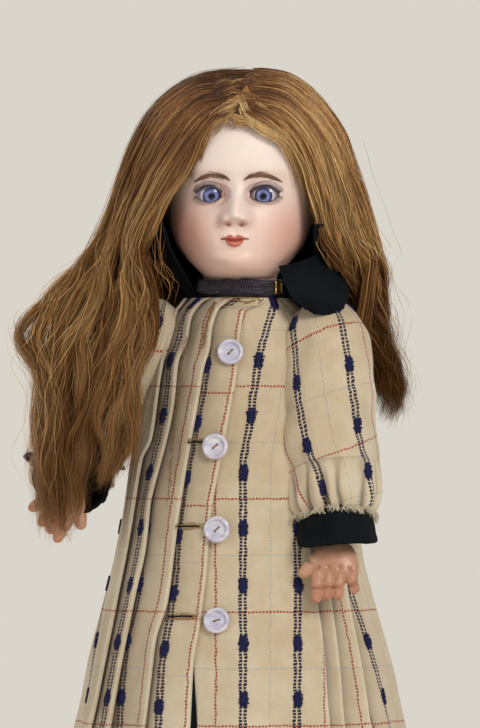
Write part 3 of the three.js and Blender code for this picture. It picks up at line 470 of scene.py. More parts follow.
def face_push(x, z):
    """How far the face's features stand forward of the plain head."""
    ax = np.abs(x)
    top, line, bottom = mouth_shape(x)
    tip = 5.0 * bump(x, 3.9) * np.where(z > 393, bump(z - 393, 5.0), bump(z - 393, 2.5))
    ridge = 2.5 * bump(x, 2.5) * ramp(z, 390, 394) * (1 - ramp(z, 400, 411))
    wings = 2.9 * bump(ax - 5.0, 1.6) * bump(z - 391.3, 1.9)
    nostrils = -2.2 * bump(ax - 3.1, 1.1) * bump(z - 389.6, 0.7)
    philtrum = -0.45 * bump(x, 0.9) * bump(z - 387, 1.3)
    muzzle = 1.3 * bump(x, 7.5) * bump(z - 383, 5.5)
    upper = 1.25 * bump(z - (line + top) / 2, 0.85) * bump(x, 4.0)
    lower = 1.6 * bump(z - (line + bottom) / 2, 1.05) * bump(x, 3.3)
    parting = -1.3 * bump(z - line, 0.38) * (1 - ramp(ax, 5, 7.4))
    corners = -0.6 * bump(ax - 6.8, 1.2) * bump(z - MOUTH_Z, 1.3)
    hollow = -0.9 * bump(x, 4.6) * bump(z - 377.8, 1.3)
    chin = 2.4 * bump(x, 6.2) * bump(z - 373.2, 3.0)
    cheeks = 1.9 * bump(ax - 15.5, 7.6) * bump(z - 386.5, 7.6)
    sockets = -2.2 * bump(ax - 12.1, 6.6) * bump(z - 404.6, 4.4)
    brow = 0.6 * bump(ax - 12, 8) * bump(z - 412, 2.6)
    total = tip + ridge + wings + nostrils + philtrum + muzzle + upper + lower + parting + corners
    return total + hollow + chin + cheeks + sockets + brow


def lids(x, y, z):
    """Draws the face round the eyes onto a ball a lid's thickness outside each eye."""
    for side in (-1, 1):
        dx, dz = x - side * EYE[0], z - EYE[2]
        ball = EYE[1] - np.sqrt(np.clip(LID_RADIUS ** 2 - dx ** 2 - dz ** 2, 6, None))
        share = 1 - ramp(np.hypot(dx * 0.76, dz * 1.25), 4.7, 7.4)
        y = y + (ball - y) * share
    return y


def face_point(x, z, lift=0.0):
    """Place on the front of the face, across and up, in the head's frame."""
    x, z = np.asarray(x, float), np.asarray(z, float)
    sine = np.clip(x / section(HEAD, z, 1), -0.995, 0.995)
    cosine = np.sqrt(1 - sine ** 2)
    y = -(section(HEAD, z, 2) + face_push(x, z)) * cosine
    return np.stack([x + lift * sine, lids(x, y, z) - lift, z + 0 * x], axis=-1)


def head_grid():
    t = np.linspace(-1, 1, 340, endpoint=False)
    angle = math.pi * (0.6 * t + 0.4 * t ** 3)
    neck = np.linspace(HEAD[0][0], FACE_LOW, 26, endpoint=False)
    face = np.linspace(FACE_LOW, FACE_HIGH, 196, endpoint=False)
    rows = np.concatenate([neck, face, np.linspace(FACE_HIGH, HEAD[-1][0], 60)])
    z, a = np.meshgrid(rows, angle, indexing="ij")
    front = np.cos(a) > 0
    x = section(HEAD, z, 1) * np.sin(a)
    depth = np.where(front, section(HEAD, z, 2), section(HEAD, z, 3))
    push = np.where(front, face_push(x, z), 0)
    y = -(depth + push) * np.cos(a)
    y = np.where(front & (np.abs(x) < 24), lids(x, y, z), y)
    ear = 2.6 * bump(np.abs(a) - 98 * DEG, 7 * DEG) * bump(z - 397, 4.5) * (1 - 0.5 * bump(z - 397, 2))
    return np.stack([x + np.sign(x) * ear, y, z], axis=-1)


def almond(side, grow=0.0, count=48):
    """Outline of an eye opening about its own centre, with across growing away from the nose."""
    t = once_round(count)
    high = np.where(np.sin(t) > 0, OPENING_UP, OPENING_DOWN) + grow
    wide = np.where(np.cos(t) > 0, OPENING_WIDE, OPENING_INNER[side]) + grow
    return wide * np.cos(t), high * np.sin(t) * np.abs(np.sin(t)) ** POINTED


def opening_cutter(side):
    """Solid that cuts one eye opening, with its outline run the same way round on both sides."""
    x, z = (values[::side] for values in almond(side))
    rings = [np.stack([side * x * k + side * EYE[0], np.full_like(x, y), z * k + EYE[2]], axis=-1)
             for y, k in ((-26.0, 0.96), (-40.0, 1.06))]
    return grid_object("eye_cutter", rings, wrap=True, caps=True)


def face_colours(points):
    """Fired colours: pale ground, strong blush low on the cheeks, orange red lips and shaded lids, with
    painted light and shade: a weaker blush on the doll's left cheek, painted shade round the nose and
    nostrils and a painted highlight on the lower lip.
    """
    x, y, z = points.T
    ax, front = np.abs(x), y < -4
    colour = np.tile(linear("f0dccd"), (len(x), 1))

    def lay(code, share):
        nonlocal colour
        share = np.clip(share, 0, 1)[:, None]
        colour = colour * (1 - share) + np.array(linear(code)) * share

    spread = 0.5 + 0.5 * ramp(waves(x / 22, z / 22, 3), -0.8, 0.8)
    lay("f6e6da", 0.7 * bump(x, 13) * bump(z - 420, 12) * front)
    # Blush on both cheeks, painted weaker on the doll's left cheek as painted light, as if that side is lit
    lay("db9780", (0.74 - 0.2 * (x > 0)) * bump(ax - 23, 11) * bump(z - 385, 12) * (0.85 + 0.15 * spread))
    lay("d5806a", 0.34 * bump(ax - 25, 7.5) * bump(z - 384, 10))
    lay("e6b09c", 0.5 * bump(z - 368, 8) * front)
    lay("e8b8a4", 0.35 * bump(x, 5) * bump(z - 372.5, 3) * front)
    for side in (-1, 1):
        dx, dz = x - side * EYE[0], z - EYE[2]
        lay("c2968b", 0.4 * bump(dx, 6.6) * bump(dz - 4.9, 1.6) * front)
        lay("dcb4a6", 0.3 * bump(dx, 6.4) * bump(dz + 4.6, 1.6) * front)
        lay("c9a093", 0.3 * bump(ax - 6.4, 2.2) * bump(dz, 6) * front)
        lay("c03c30", 0.9 * bump(dx + side * 6.0, 0.5) * bump(dz + 0.2, 0.5) * front)
        lay("b98a6e", 0.35 * bump(dx, 6.5) * bump(dz - 8.6, 1.4) * front)
    # Painted shade round the nose wings and under the nose
    lay("c08470", 0.6 * bump(ax - 3.8, 2.2) * bump(z - 390.2, 1.2) * front)
    # Nostrils: painted dots, made dark brown as painted shade
    lay("8f4c3a", 0.75 * bump(ax - 2.9, 0.9) * bump(z - 389.6, 0.5) * front)
    top, line, bottom = mouth_shape(x)
    inside = ramp(z, bottom - 0.22, bottom + 0.25) * (1 - ramp(z, top - 0.3, top + 0.2)) * (ax < 6.6)
    lay("b84a33", 0.92 * inside * front)
    lay("8c3020", 0.85 * bump(z - line, 0.28) * (1 - ramp(ax, 5.4, 6.9)) * front)
    # Painted highlight on the middle of the lower lip
    lay("e39a78", 0.6 * inside * bump(z - (line + bottom) / 2, 0.55) * bump(x - 0.4, 1.6) * front)
    return colour


def bisque_material():
    paint = Paint("bisque_paint", Roughness=0.42, Specular_IOR_Level=0.42, Subsurface_Weight=0.12,
                  Subsurface_Radius=(1.0, 0.5, 0.35), Subsurface_Scale=0.0016)
    mottle = paint.span(paint.noise(160, 4), 0.35, 0.7, 0.0, 0.07)
    paint.colour(paint.mix(mottle, paint.tint(), "c99f86"))
    paint.roughness(paint.span(paint.noise(420, 3), 0.3, 0.7, 0.36, 0.5))
    paint.relief(paint.noise(2600, 2), 0.02, 0.35)
    return paint.material


def make_head():
    head = grid_object("head_skin", head_grid(), bisque_material(), wrap=True, caps=True)
    for side in (-1, 1):
        cutter = opening_cutter(side)
        apply(head, "BOOLEAN", object=cutter, operation="DIFFERENCE", solver="EXACT")
        bpy.data.objects.remove(cutter)
    points = mesh_points(head)
    paint_points(head, face_colours(points))
    move_points(head, on_head(points))
    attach(head, "head")
    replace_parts(head, "bisque_head")


def stroke_points(line, width):
    """Two edges of a flat stroke on the face along (across, up) points, one row for each point."""
    line = np.asarray(line, float)
    along = np.gradient(line, axis=0)
    along /= np.linalg.norm(along, axis=1, keepdims=True) + 1e-9
    aside = np.stack([-along[:, 1], along[:, 0]], axis=1) * (np.asarray(width) / 2)[:, None]
    edges = np.stack([line + aside, line - aside], axis=1)
    return on_head(face_point(edges[..., 0], edges[..., 1], 0.07))


def strokes(name, lines, material):
    """Painted strokes, each a pair of a line and its widths, as one thin mesh on the face."""
    points, faces, start = [], [], 0
    for line, width in lines:
        rows = stroke_points(line, width)
        points.append(rows.reshape(-1, 3))
        faces.append(grid_faces(len(rows), 2) + start)
        start += 2 * len(rows)
    made = mesh_object(name, np.concatenate(points), np.concatenate(faces), material)
    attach(made, "head")
    return made


def taper(count, width, head=0.35):
    """Widths along a stroke that swells over its head and thins towards its tip."""
    t = np.linspace(0, 1, count)
    return width * np.minimum(1, (t + 0.15) / head) * np.clip(1.12 - t, 0.12, 1)


def brow_strokes(side):
    """Feathered strokes of one eyebrow, from its inner end outwards."""
    line = np.array([(2.8, 409.0), (6.0, 410.6), (10.4, 411.3), (15.2, 410.3), (19.5, 407.9)])
    made = []
    for t in np.sort(rng.uniform(0, 0.86, 330)):
        length = rng.uniform(0.12, 0.2)
        points = path(line, np.linspace(t, min(t + length, 1.04), 6))
        thick = 1.2 * math.sin(math.pi * min(1, t * 0.84 + 0.16)) + 0.1
        points[:, 1] += rng.normal(0, 0.42) * thick + np.linspace(-0.15, 0.25, 6)
        points[:, 0] *= side
        made.append((points, taper(6, rng.uniform(0.14, 0.26))))
    return made


def lash_strokes(side):
    """Fine lashes all round one eye opening, longest at the outer corner."""
    made = []
    for upper, count in ((True, 38), (False, 32)):
        way_round, high = (1, OPENING_UP) if upper else (-1, OPENING_DOWN)
        for t in np.linspace(0.05, 0.94, count):
            turn = way_round * math.pi * (1 - t)
            x = (OPENING_WIDE if math.cos(turn) > 0 else OPENING_INNER[side]) * math.cos(turn)
            z = high * math.sin(turn) * abs(math.sin(turn)) ** POINTED
            reach = (1.5 + 1.0 * t) if upper else (1.3 + 0.7 * t)
            reach *= rng.uniform(0.85, 1.15)
            lean = (t - 0.42) * 1.5
            way = np.array([math.sin(lean), math.cos(lean) * way_round])
            s = np.linspace(0, 1, 5)[:, None]
            points = np.array([x, z]) * 1.02 + way * reach * s + np.array([0.22, 0.0]) * s ** 2 * reach
            points = points * [side, 1] + [side * EYE[0], EYE[2]]
            made.append((points, taper(5, 0.3 if upper else 0.26)))
    return made


def rim_strokes(side):
    """Dark line at the edge of the opening, and the crease above it."""
    x, z = almond(side, 0.16, 60)
    t = once_round(60)
    upper = (t > 0.02) & (t < math.pi - 0.02)
    place = np.array([side * EYE[0], EYE[2]])
    lid = np.stack([side * x[upper], z[upper]], axis=1) + place
    low = np.stack([side * x[~upper], z[~upper]], axis=1)[1:] + place
    crease = path([(-6.4, 1.6), (-3.6, 4.7), (0.6, 5.7), (4.8, 4.6), (8.4, 1.2)], np.linspace(0, 1, 30))
    crease = crease * [side, 1] + place
    return [(lid, np.full(len(lid), 0.6)), (low, np.full(len(low), 0.36))], [(crease, taper(30, 0.4, 0.5))]


def make_face_paint():
    brown = Paint("brow_paint", "7f5a42", Roughness=0.5).material
    dark = Paint("lash_paint", "2c2228", Roughness=0.45).material
    mauve = Paint("crease_paint", "8c6660", Roughness=0.5).material
    strokes("brow_strokes", brow_strokes(-1) + brow_strokes(1), brown)
    rims, creases = zip(*(rim_strokes(side) for side in (-1, 1)))
    strokes("lash_strokes", lash_strokes(-1) + lash_strokes(1) + rims[0] + rims[1], dark)
    strokes("lid_creases", creases[0] + creases[1], mauve)


def eye_colours(out, turn):
    """Colours over an eye by distance out from the pupil and turn round it, with the white painted grey and
    painted shade towards the corners and under the upper lid.
    """
    # The white is painted grey, partly as painted shade
    colour = np.tile(linear("c2bec6"), (*out.shape, 1))

    def lay(code, share):
        nonlocal colour
        colour = colour * (1 - share[..., None]) + np.array(linear(code)) * share[..., None]

    streak = 0.5 + 0.3 * np.sin(turn * 29 + out * 1.3) + 0.3 * np.sin(turn * 47 - out * 0.9)
    iris = 1 - ramp(out, 4.0, 4.25)
    # Painted shade: the white darkens towards the corners of the opening
    lay("6c6470", 0.9 * ramp(out, 4.2, 6.4))
    lay("3f4386", iris)
    lay("aab2da", iris * np.clip(0.9 * streak, 0, 0.85) * bump(out - 2.1, 0.6))
    lay("8a8ec0", iris * streak * 0.5 * bump(out - 3.1, 0.5))
    lay("1d1c44", iris * ramp(out, 2.7, 3.7))
    lay("262a55", iris * 0.8 * bump(out - 1.45, 0.25))
    lay("06060c", 1 - ramp(out, 1.2, 1.4))
    # Painted shadow of the upper lid over the top of the eye
    lay("30304a", 0.75 * ramp(out * np.sin(turn), 1.2, 3.6))
    return colour


def make_eyes():
    glass = Paint("eye_glass", Roughness=0.03, Specular_IOR_Level=0.36, Coat_Weight=0.15, Coat_Roughness=0.02)
    glass.colour(glass.tint())
    polar, turn = np.meshgrid(np.linspace(0.001, math.pi - 0.001, 150), once_round(240), indexing="ij")
    ahead = np.stack([np.sin(polar) * np.cos(turn), -np.cos(polar), np.sin(polar) * np.sin(turn)], axis=-1)
    for name, side in (("right_eye", -1), ("left_eye", 1)):
        gaze = Matrix.Rotation(-GAZE_DOWN, 3, "X") @ Matrix.Rotation(-GAZE_ASIDE[side], 3, "Z")
        ball = ahead @ np.array(gaze) * EYE_RADIUS + EYE * [side, 1, 1]
        eye = grid_object(name + "_ball", on_head(ball), glass.material, wrap=True)
        paint_points(eye, eye_colours(polar * EYE_RADIUS, turn).reshape(-1, 3))
        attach(eye, "head")
        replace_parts(eye, name)


make_head()
make_face_paint()
make_eyes()


# Hair: crown sections are height, half width, front depth and back depth. WINDOW is the height and half
# width of the opening over the face. A fall's sections are height, middle (across and behind), half width
# and half depth.
CROWN = [
    (374, 61, 20, 50), (387, 57.5, 24, 51), (401, 53.5, 27, 52), (418, 48, 33, 51), (428, 45, 36, 50),
    (437, 40, 36.5, 46), (448, 30, 28, 36), (456, 17, 15, 21), (459, 6, 5, 7),
]
WINDOW = [(374, 47), (390, 42), (405, 35), (418, 29), (428, 23), (436, 14), (441, 0)]
FALLS = {
    "right": [(374, -49, -6, 15, 20), (361, -58, -15, 22, 17), (342, -65, -26, 24, 13),
              (324, -65, -36, 20, 10), (304, -68, -43, 18, 8), (282, -69, -47, 16, 7),
              (264, -71, -48, 11, 6), (250, -73, -48, 4, 3)],
    "left": [(374, 48, 12, 13, 19), (355, 49, 20, 13, 15), (340, 51, 26, 13, 12), (322, 56, 29, 14, 10),
             (304, 60, 30, 13, 8), (290, 61, 30, 10, 6), (280, 62, 30, 4, 3)],
    "back": [(374, 0, 42, 50, 10), (355, 0, 43, 53, 12), (335, 0, 42, 53, 12), (310, 0, 41, 48, 11),
             (288, 0, 42, 40, 8), (270, 0, 44, 28, 4)],
}
# Lines of the long hair from the parting to the tips: (pixel across, pixel down, depth)
RIGHT_LINES = [
    [(240, 110, -37), (217, 118, -38), (203, 135, -37), (190, 165, -33), (171, 194, -29), (151, 228, -26),
     (143, 260, -32), (149, 296, -38), (147, 340, -46), (136, 380, -52), (129, 430, -54), (118, 480, -54)],
    [(241, 103, -34), (216, 108, -35), (188, 138, -32), (162, 178, -28), (142, 222, -26), (133, 262, -32),
     (142, 305, -38), (131, 350, -46), (118, 400, -52), (114, 450, -54), (100, 492, -52)],
    [(242, 94, -30), (205, 98, -31), (172, 130, -28), (150, 172, -24), (132, 215, -22), (119, 258, -28),
     (112, 300, -38), (100, 345, -47), (87, 400, -52), (80, 450, -54), (75, 492, -52)],
    [(243, 84, -22), (202, 88, -22), (165, 117, -20), (140, 160, -18), (122, 206, -17), (107, 250, -22),
     (92, 290, -34), (73, 335, -45), (61, 385, -51), (58, 440, -55), (68, 500, -56), (66, 546, -56)],
    [(244, 76, -12), (200, 80, -12), (160, 104, -12), (134, 145, -12), (116, 195, -12), (100, 243, -16),
     (78, 278, -28), (55, 312, -40), (43, 350, -47), (49, 395, -50), (52, 440, -54), (44, 484, -56),
     (52, 536, -56)],
    [(245, 70, 0), (203, 74, 0), (162, 97, -2), (135, 134, -4), (117, 184, -8), (101, 232, -12),
     (86, 266, -20), (62, 283, -30), (40, 304, -38), (29, 333, -44), (40, 366, -48), (46, 410, -52),
     (36, 458, -55), (44, 502, -56), (36, 546, -56)],
]
LEFT_LINES = [
    [(244, 112, -38), (260, 117, -39), (279, 133, -36), (296, 158, -32), (307, 186, -27), (314, 215, -24),
     (325, 245, -22), (341, 272, -14), (353, 297, 0), (362, 328, 16), (370, 362, 26), (375, 396, 30)],
    [(247, 104, -35), (272, 109, -35), (298, 131, -32), (315, 165, -28), (326, 200, -25), (335, 235, -22),
     (346, 268, -14), (357, 295, 2), (367, 330, 20), (375, 365, 29), (381, 396, 31), (379, 426, 30)],
    [(248, 92, -30), (278, 97, -30), (307, 122, -28), (326, 158, -24), (338, 198, -21), (348, 236, -18),
     (358, 270, -8), (366, 305, 8), (375, 342, 24), (385, 376, 30), (390, 408, 31), (383, 444, 30)],
    [(248, 82, -22), (281, 85, -22), (311, 108, -20), (332, 145, -18), (346, 190, -15), (357, 232, -12),
     (367, 267, -4), (374, 303, 10), (383, 340, 24), (396, 373, 30), (402, 402, 31), (391, 438, 30)],
    [(248, 74, -10), (281, 77, -10), (313, 98, -10), (337, 136, -9), (353, 184, -7), (364, 230, -5),
     (374, 262, 2), (378, 300, 14), (381, 338, 24), (388, 370, 30), (394, 400, 32), (383, 432, 32)],
    [(248, 68, 4), (283, 72, 4), (317, 94, 4), (341, 132, 4), (358, 182, 6), (368, 230, 8),
     (378, 264, 12), (378, 300, 20), (373, 335, 28), (374, 365, 32), (380, 396, 34)],
]


def crown_reach(points):
    """How far out points are against the crown's outline at their height: 1 on it."""
    z = points[..., 2]
    depth = np.where(points[..., 1] < 0, section(CROWN, z, 2), section(CROWN, z, 3))
    return np.hypot(points[..., 0] / section(CROWN, z, 1), points[..., 1] / depth)


def onto_crown(points, lift):
    """Moves points above the falls out to the crown's surface and a lift over it."""
    reach = crown_reach(points)
    wanted = 1 + lift / section(CROWN, points[..., 2], 1)
    out = np.maximum(wanted / np.maximum(reach, 0.2), 1)
    share = ramp(points[..., 2], 366, 380)
    factor = 1 + (out - 1) * share
    moved = points.copy()
    moved[..., 0] *= factor
    moved[..., 1] *= factor
    return moved


def hair_material():
    paint = Paint("hair_paint", Roughness=0.55, Specular_IOR_Level=0.28)
    fine = paint.span(paint.noise(900, 2, stretch=(1, 1, 0.08)), 0.3, 0.7, 0.0, 0.35)
    paint.colour(paint.mix(fine, paint.tint(), "4a2c12"))
    return paint.material


HAIR = hair_material()
STRAND_STEPS = 50
HAIR_TONES = ("3c2010", "946231", "e2b878")


def hair_colours(along, shade, warm):
    """Honey blonde, with painted shade at the roots, the tips and in the hollows: shade and warm are one
    value for each strand.
    """
    dark, middle, light = (np.array(linear(code)) for code in HAIR_TONES)
    # Painted shade darkens the roots here and the tips on the next line; shade holds each strand's own tone
    # and its painted shade
    level = 0.5 + 0.27 * shade + 0.2 * ramp(along, 0, 0.4) - 0.34 * (1 - ramp(along, 0.02, 0.15))
    level = np.clip(level - 0.24 * ramp(along, 0.5, 1), 0, 1)[..., None]
    deep = dark + (middle - dark) * level * 2
    pale = middle + (light - middle) * (level * 2 - 1)
    mixed = np.where(level < 0.5, deep, pale)
    return mixed * (1 + 0.1 * warm[..., None] * np.array([1.0, 0.2, -0.6]))


def strands(name, lines, width, shade, fall=None):
    """Flat tapering hairs along lines, an array of hair by step by (x, y, z), as one object."""
    along = np.gradient(lines, axis=1)
    along /= np.linalg.norm(along, axis=2, keepdims=True) + 1e-9
    outward = lines * [1, 1, 0] + [0, 1e-3, 0]
    outward /= np.linalg.norm(outward, axis=2, keepdims=True)
    aside = np.cross(along, outward)
    aside /= np.linalg.norm(aside, axis=2, keepdims=True) + 1e-9
    count, steps = lines.shape[:2]
    roll = rng.uniform(-0.7, 0.7, (count, 1, 1))
    aside = aside * np.cos(roll) + np.cross(along, aside) * np.sin(roll)
    t = np.linspace(0, 1, steps)
    half = 0.5 * width[:, None] * np.minimum(1, (t + 0.05) / 0.12) * np.clip(1.15 - t ** 3, 0.1, 1)
    grid = np.stack([lines + aside * half[..., None], lines - aside * half[..., None]], axis=2)
    one = grid_faces(steps, 2)
    faces = (one[None] + 2 * steps * np.arange(count)[:, None, None]).reshape(-1, 4)
    made = mesh_object(name, grid.reshape(-1, 3), faces, HAIR)
    along_all = np.ones((1, steps))
    warm = rng.normal(0, 1, (count, 1)) * along_all
    colours = hair_colours(t * np.ones((count, 1)), shade.reshape(count, -1) * along_all, warm)
    paint_points(made, np.repeat(colours.reshape(-1, 3), 2, axis=0))
    place_hair(made, fall)
    return made


def place_hair(made, fall):
    if fall:
        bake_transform(made)
    else:
        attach(made, "head")


LOCKS = 24
WISPS = 4


def strand_lines(guides, count, spread, frizz, depth, shortest, first=0.0):
    """Lines between neighbouring guide lines, in locks that wave together and close up towards the tips."""
    t = np.linspace(0, 1, STRAND_STEPS)
    rows = np.stack([path([at_pixel(*p) for p in line], t) for line in guides])
    reach = len(rows) - 1
    place = rng.uniform(0, 0.999, count)
    lock, wisp = (place * LOCKS).astype(int), (place * LOCKS * WISPS).astype(int)
    turn = np.random.default_rng(31)
    phases = turn.uniform(0, 2 * math.pi, (LOCKS, 9))[lock]
    centre = (lock + 0.5 + turn.uniform(-0.35, 0.35, LOCKS)[lock]) / LOCKS
    place = place + 0.55 * ((wisp + 0.5) / (LOCKS * WISPS) - place)
    end = turn.uniform(shortest, 1.0, LOCKS)[lock] * rng.uniform(0.93, 1.0, count)
    start = first + rng.uniform(0, 0.05, count)
    fine = start[:, None] + (end - start)[:, None] * t
    gather = 0.1 + 0.6 * ramp(fine, 0.3, 0.95)
    across = np.clip(place[:, None] + gather * (centre - place)[:, None], 0, 0.9999) * reach
    down = np.clip(fine, 0, 0.9999) * (STRAND_STEPS - 1)
    i, j = across.astype(int), down.astype(int)
    a, b = (across - i)[..., None], (down - j)[..., None]
    lines = ((rows[i, j] * (1 - a) + rows[i + 1, j] * a) * (1 - b)
             + (rows[i, j + 1] * (1 - a) + rows[i + 1, j + 1] * a) * b)
    grow = ramp(fine, 0.1, 0.75)
    wave = [np.sin(fine * (9 + k * 4) + phases[:, k, None])
            + 0.5 * np.sin(fine * (25 + k * 6) + phases[:, k + 3, None])
            + 0.34 * np.sin(fine * (46 + k * 5) + phases[:, k + 6, None]) for k in range(3)]
    lines = lines + np.stack(wave, axis=-1) * (spread * grow)[..., None] * [1, 0.7, 0.4]
    loose = 1 + 1.1 * (rng.uniform(0, 1, (count, 1, 1)) > 0.9)
    own = rng.normal(0, 1, (count, 1, 3)) * (0.6 + 1.6 * grow[..., None]) * frizz * loose
    curl = np.sin(fine * rng.uniform(16, 44, (count, 1)) + rng.uniform(0, 6.3, (count, 1)))[..., None]
    swing = curl * 0.7 * (0.2 + grow[..., None]) * loose
    lines = lines + own + swing * rng.normal(0, 1, (count, 1, 3)) * frizz
    lines[..., 1] += rng.uniform(0, 1, (count, 1)) ** 1.3 * depth * ramp(fine, 0.1, 0.4)
    shade = turn.normal(0, 0.62, LOCKS)[lock] + rng.normal(0, 0.6, count)
    return lines, shade


def crown_shell():
    """Under-mass of the crown, open over the face and grooved along the hair."""
    z = np.concatenate([np.linspace(374, 448, 60), np.linspace(449, 458.6, 16)])[:, None]
    share = np.linspace(0, 1, 260)[None, :]
    half = section(CROWN, z, 1)
    opening = np.arcsin(np.clip(section(WINDOW, z, 1) / half, 0, 0.99))
    angle = opening + (2 * math.pi - 2 * opening) * share
    front = np.cos(angle) > 0
    depth = np.where(front, section(CROWN, z, 2), section(CROWN, z, 3))
    groove = 0.7 * waves(angle * 9, z / 60, 11, 3) - 1.6
    tuck = 1 - 0.1 * (bump(share, 0.012) + bump(1 - share, 0.012))
    x = (half + groove) * np.sin(angle) * tuck
    y = -(depth + groove) * np.cos(angle) * tuck
    return np.stack([x, y, z + 0 * x], axis=-1), angle


def paint_mass(mass, shade):
    """Dark under-colour for a mass of hair, painted shade that shows in the gaps between strands, one shade
    for each point.
    """
    paint_points(mass, hair_colours(0 * shade + 0.1, shade, 0 * shade).reshape(-1, 3))


def make_crown():
    grid, angle = crown_shell()
    shell = grid_object("hair_crown_mass", turned(grid), HAIR)
    # Painted shade: the crown's under-mass is dark
    paint_mass(shell, -1.2 + 0.7 * waves(angle * 14, grid[..., 2] / 80, 12))
    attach(shell, "head")
    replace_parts(shell, "wig_crown")


# How far above its CAD end each under-mass stops, where only strands go on
MASS_ENDS = {"right": 34, "left": 36, "back": 10}


def make_fall_mass(side):
    """Under-mass of one long fall, inside its strands."""
    rows = np.array(FALLS[side], float)
    z = np.linspace(rows[0, 0] + 3, rows[-1, 0] + MASS_ENDS[side], 70)[:, None]
    angle = once_round(120)[None, :]
    centre_x, centre_y, wide, deep = (section(rows[::-1], z, k) for k in (1, 2, 3, 4))
    ends = (0.25 + 0.75 * ramp(z, z.min(), z.min() + 30)) * (1 - 0.12 * ramp(z, z.max() - 26, z.max()))
    groove = (0.76 + 0.09 * waves(angle * 5, z / 70, 21)) * ends
    x = centre_x + wide * groove * np.cos(angle)
    y = centre_y + deep * groove * np.sin(angle)
    grid = np.stack([x, y, z + 0 * x], axis=-1)
    mass = grid_object(f"hair_{side}_mass", grid, HAIR, wrap=True, caps=True)
    # Painted shade: the fall's under-mass is dark
    shade = -1.1 + 0.7 * waves(angle * 8, z / 60, 22)
    paint_mass(mass, np.concatenate([shade[:1], shade, shade[-1:]]))
    place_hair(mass, side)
    return mass


BACK_LOCK = 5 * DEG
BACK_LOCKS = 80
HAIR_TOP = 458.5
HAIR_BACK_LOW = 272


def back_lines(count):
    """Lines from the parting over the back of the head down to the ends of the back hair."""
    t = np.linspace(0, 1, STRAND_STEPS)[None, :]
    turn = rng.uniform(70, 290, (count, 1)) * DEG
    lock = (turn / BACK_LOCK).astype(int)
    turn = turn + 0.5 * ((lock + 0.5) * BACK_LOCK - turn)
    phase = np.random.default_rng(41).uniform(0, 2 * math.pi, (BACK_LOCKS, 4))[lock[:, 0]]
    low = HAIR_BACK_LOW + 26 * np.abs(np.sin(turn)) ** 2 + rng.uniform(0, 16, (count, 1))
    z = HAIR_TOP - (HAIR_TOP - low) * t ** 1.25
    above = ramp(z, 335, 384)
    crown_wide, crown_ahead, crown_behind = (section(CROWN, np.maximum(z, CROWN[0][0]), k) for k in (1, 2, 3))
    middle, fall, deep = (section(FALLS["back"][::-1], z, k) for k in (2, 3, 4))
    wide = fall * 1.04 + (crown_wide - fall * 1.04) * above
    back = middle + deep
    depth = np.where(np.cos(turn) > 0, crown_ahead, back + (crown_behind - back) * above)
    layer = rng.uniform(-2.2, 0.9, (count, 1))
    wave = np.sin(t * 11 + phase[:, :1]) * 1.6 * ramp(t, 0.3, 1)
    gathered = (wide + layer) * np.sin(turn) * (1 - 0.12 * ramp(t, 0.8, 1))
    x = gathered + wave + rng.normal(0, 0.8, (count, 1)) * t
    y = -(depth + layer) * np.cos(turn) + 0.7 * np.sin(t * 9 + phase[:, 1:2]) * ramp(t, 0.3, 1)
    shade = np.random.default_rng(42).normal(0, 0.7, BACK_LOCKS)[lock[:, 0]] + rng.normal(0, 0.45, count)
    return np.stack([x, y, z], axis=-1), shade


def over_crown(lines, low, more):
    """Lines lifted off the crown by low and up to more above that, one distance for each line."""
    lift = low + rng.uniform(0, more, (len(lines), 1))
    return turned(onto_crown(turned(lines, -HEAD_TURN), lift))


def make_hair():
    """The crown, and each long fall as a mass painted dark as shade under an inner and an outer layer of
    strands.
    """
    many = 1.0
    make_crown()
    t = np.linspace(0, 1, STRAND_STEPS)
    # The last value is painted shade by side: the crown of the doll's right fall and the lower part of its
    # left fall are painted darker, as if in shade
    sides = (("right", RIGHT_LINES, 3500, 12, 0.97, -0.25 - 0.8 * (1 - ramp(t, 0.15, 0.45))),
             ("left", LEFT_LINES, 3000, 10, 0.84, 0.1 - 0.9 * ramp(t, 0.4, 0.65)))
    for side, guides, count, depth, shortest, tone in sides:
        mass = make_fall_mass(side)
        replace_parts(mass, f"wig_{side}_fall")
        for layer in ("inner", "outer"):
            lines, shade = strand_lines(guides, int(count * many), 3.1, 0.55, depth, shortest)
            lines = over_crown(lines, 0.3, 1.6)
            width = rng.uniform(0.16, 0.34, len(lines))
            strands(f"hair_{side}_{layer}_strands", lines, width, shade[:, None] + tone, side)
    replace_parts(make_fall_mass("back"), "wig_back_fall")
    lines, shade = back_lines(int(2300 * many))
    width = rng.uniform(0.35, 0.65, len(lines))
    # Painted shade: the back hair is a little darker
    strands("hair_back_strands", turned(lines), width, shade - 0.2, "back")


def crown_front(x, z):
    """Front of the crown at a place across and up."""
    share = np.clip(1 - (x / section(CROWN, z, 1)) ** 2, 0.02, 1)
    return -section(CROWN, z, 2) * np.sqrt(share)


# Locks over the forehead: pixels across and down with depth, then hairs, spread, shade and wave
LOOSE_LOCKS = [
    ([(238, 92, -34), (243, 106, -37), (251, 118, -38), (265, 127, -38), (281, 136, -37),
      (295, 155, -34), (306, 186, -30)], 130, 1.8, 1.2, 0.9),
    ([(232, 98, -36), (228, 108, -38), (231, 116, -38), (242, 120, -38), (256, 121, -38),
      (270, 128, -38)], 40, 1.3, 0.4, 0.6),
    ([(244, 84, -31), (256, 100, -35), (274, 116, -36), (294, 146, -33), (311, 186, -28),
      (318, 214, -26)], 90, 2.1, 0.9, 0.9),
    ([(250, 86, -32), (238, 98, -35), (222, 110, -37), (207, 128, -36), (196, 150, -34),
      (186, 176, -31)], 90, 1.8, 0.4, 0.9),
    ([(240, 104, -36), (231, 112, -38), (222, 121, -38), (213, 133, -38)], 16, 1.2, 0.5, 0.5),
    ([(246, 104, -36), (243, 113, -38), (237, 121, -39), (229, 128, -38)], 8, 1.4, 0.2, 0.5),
]


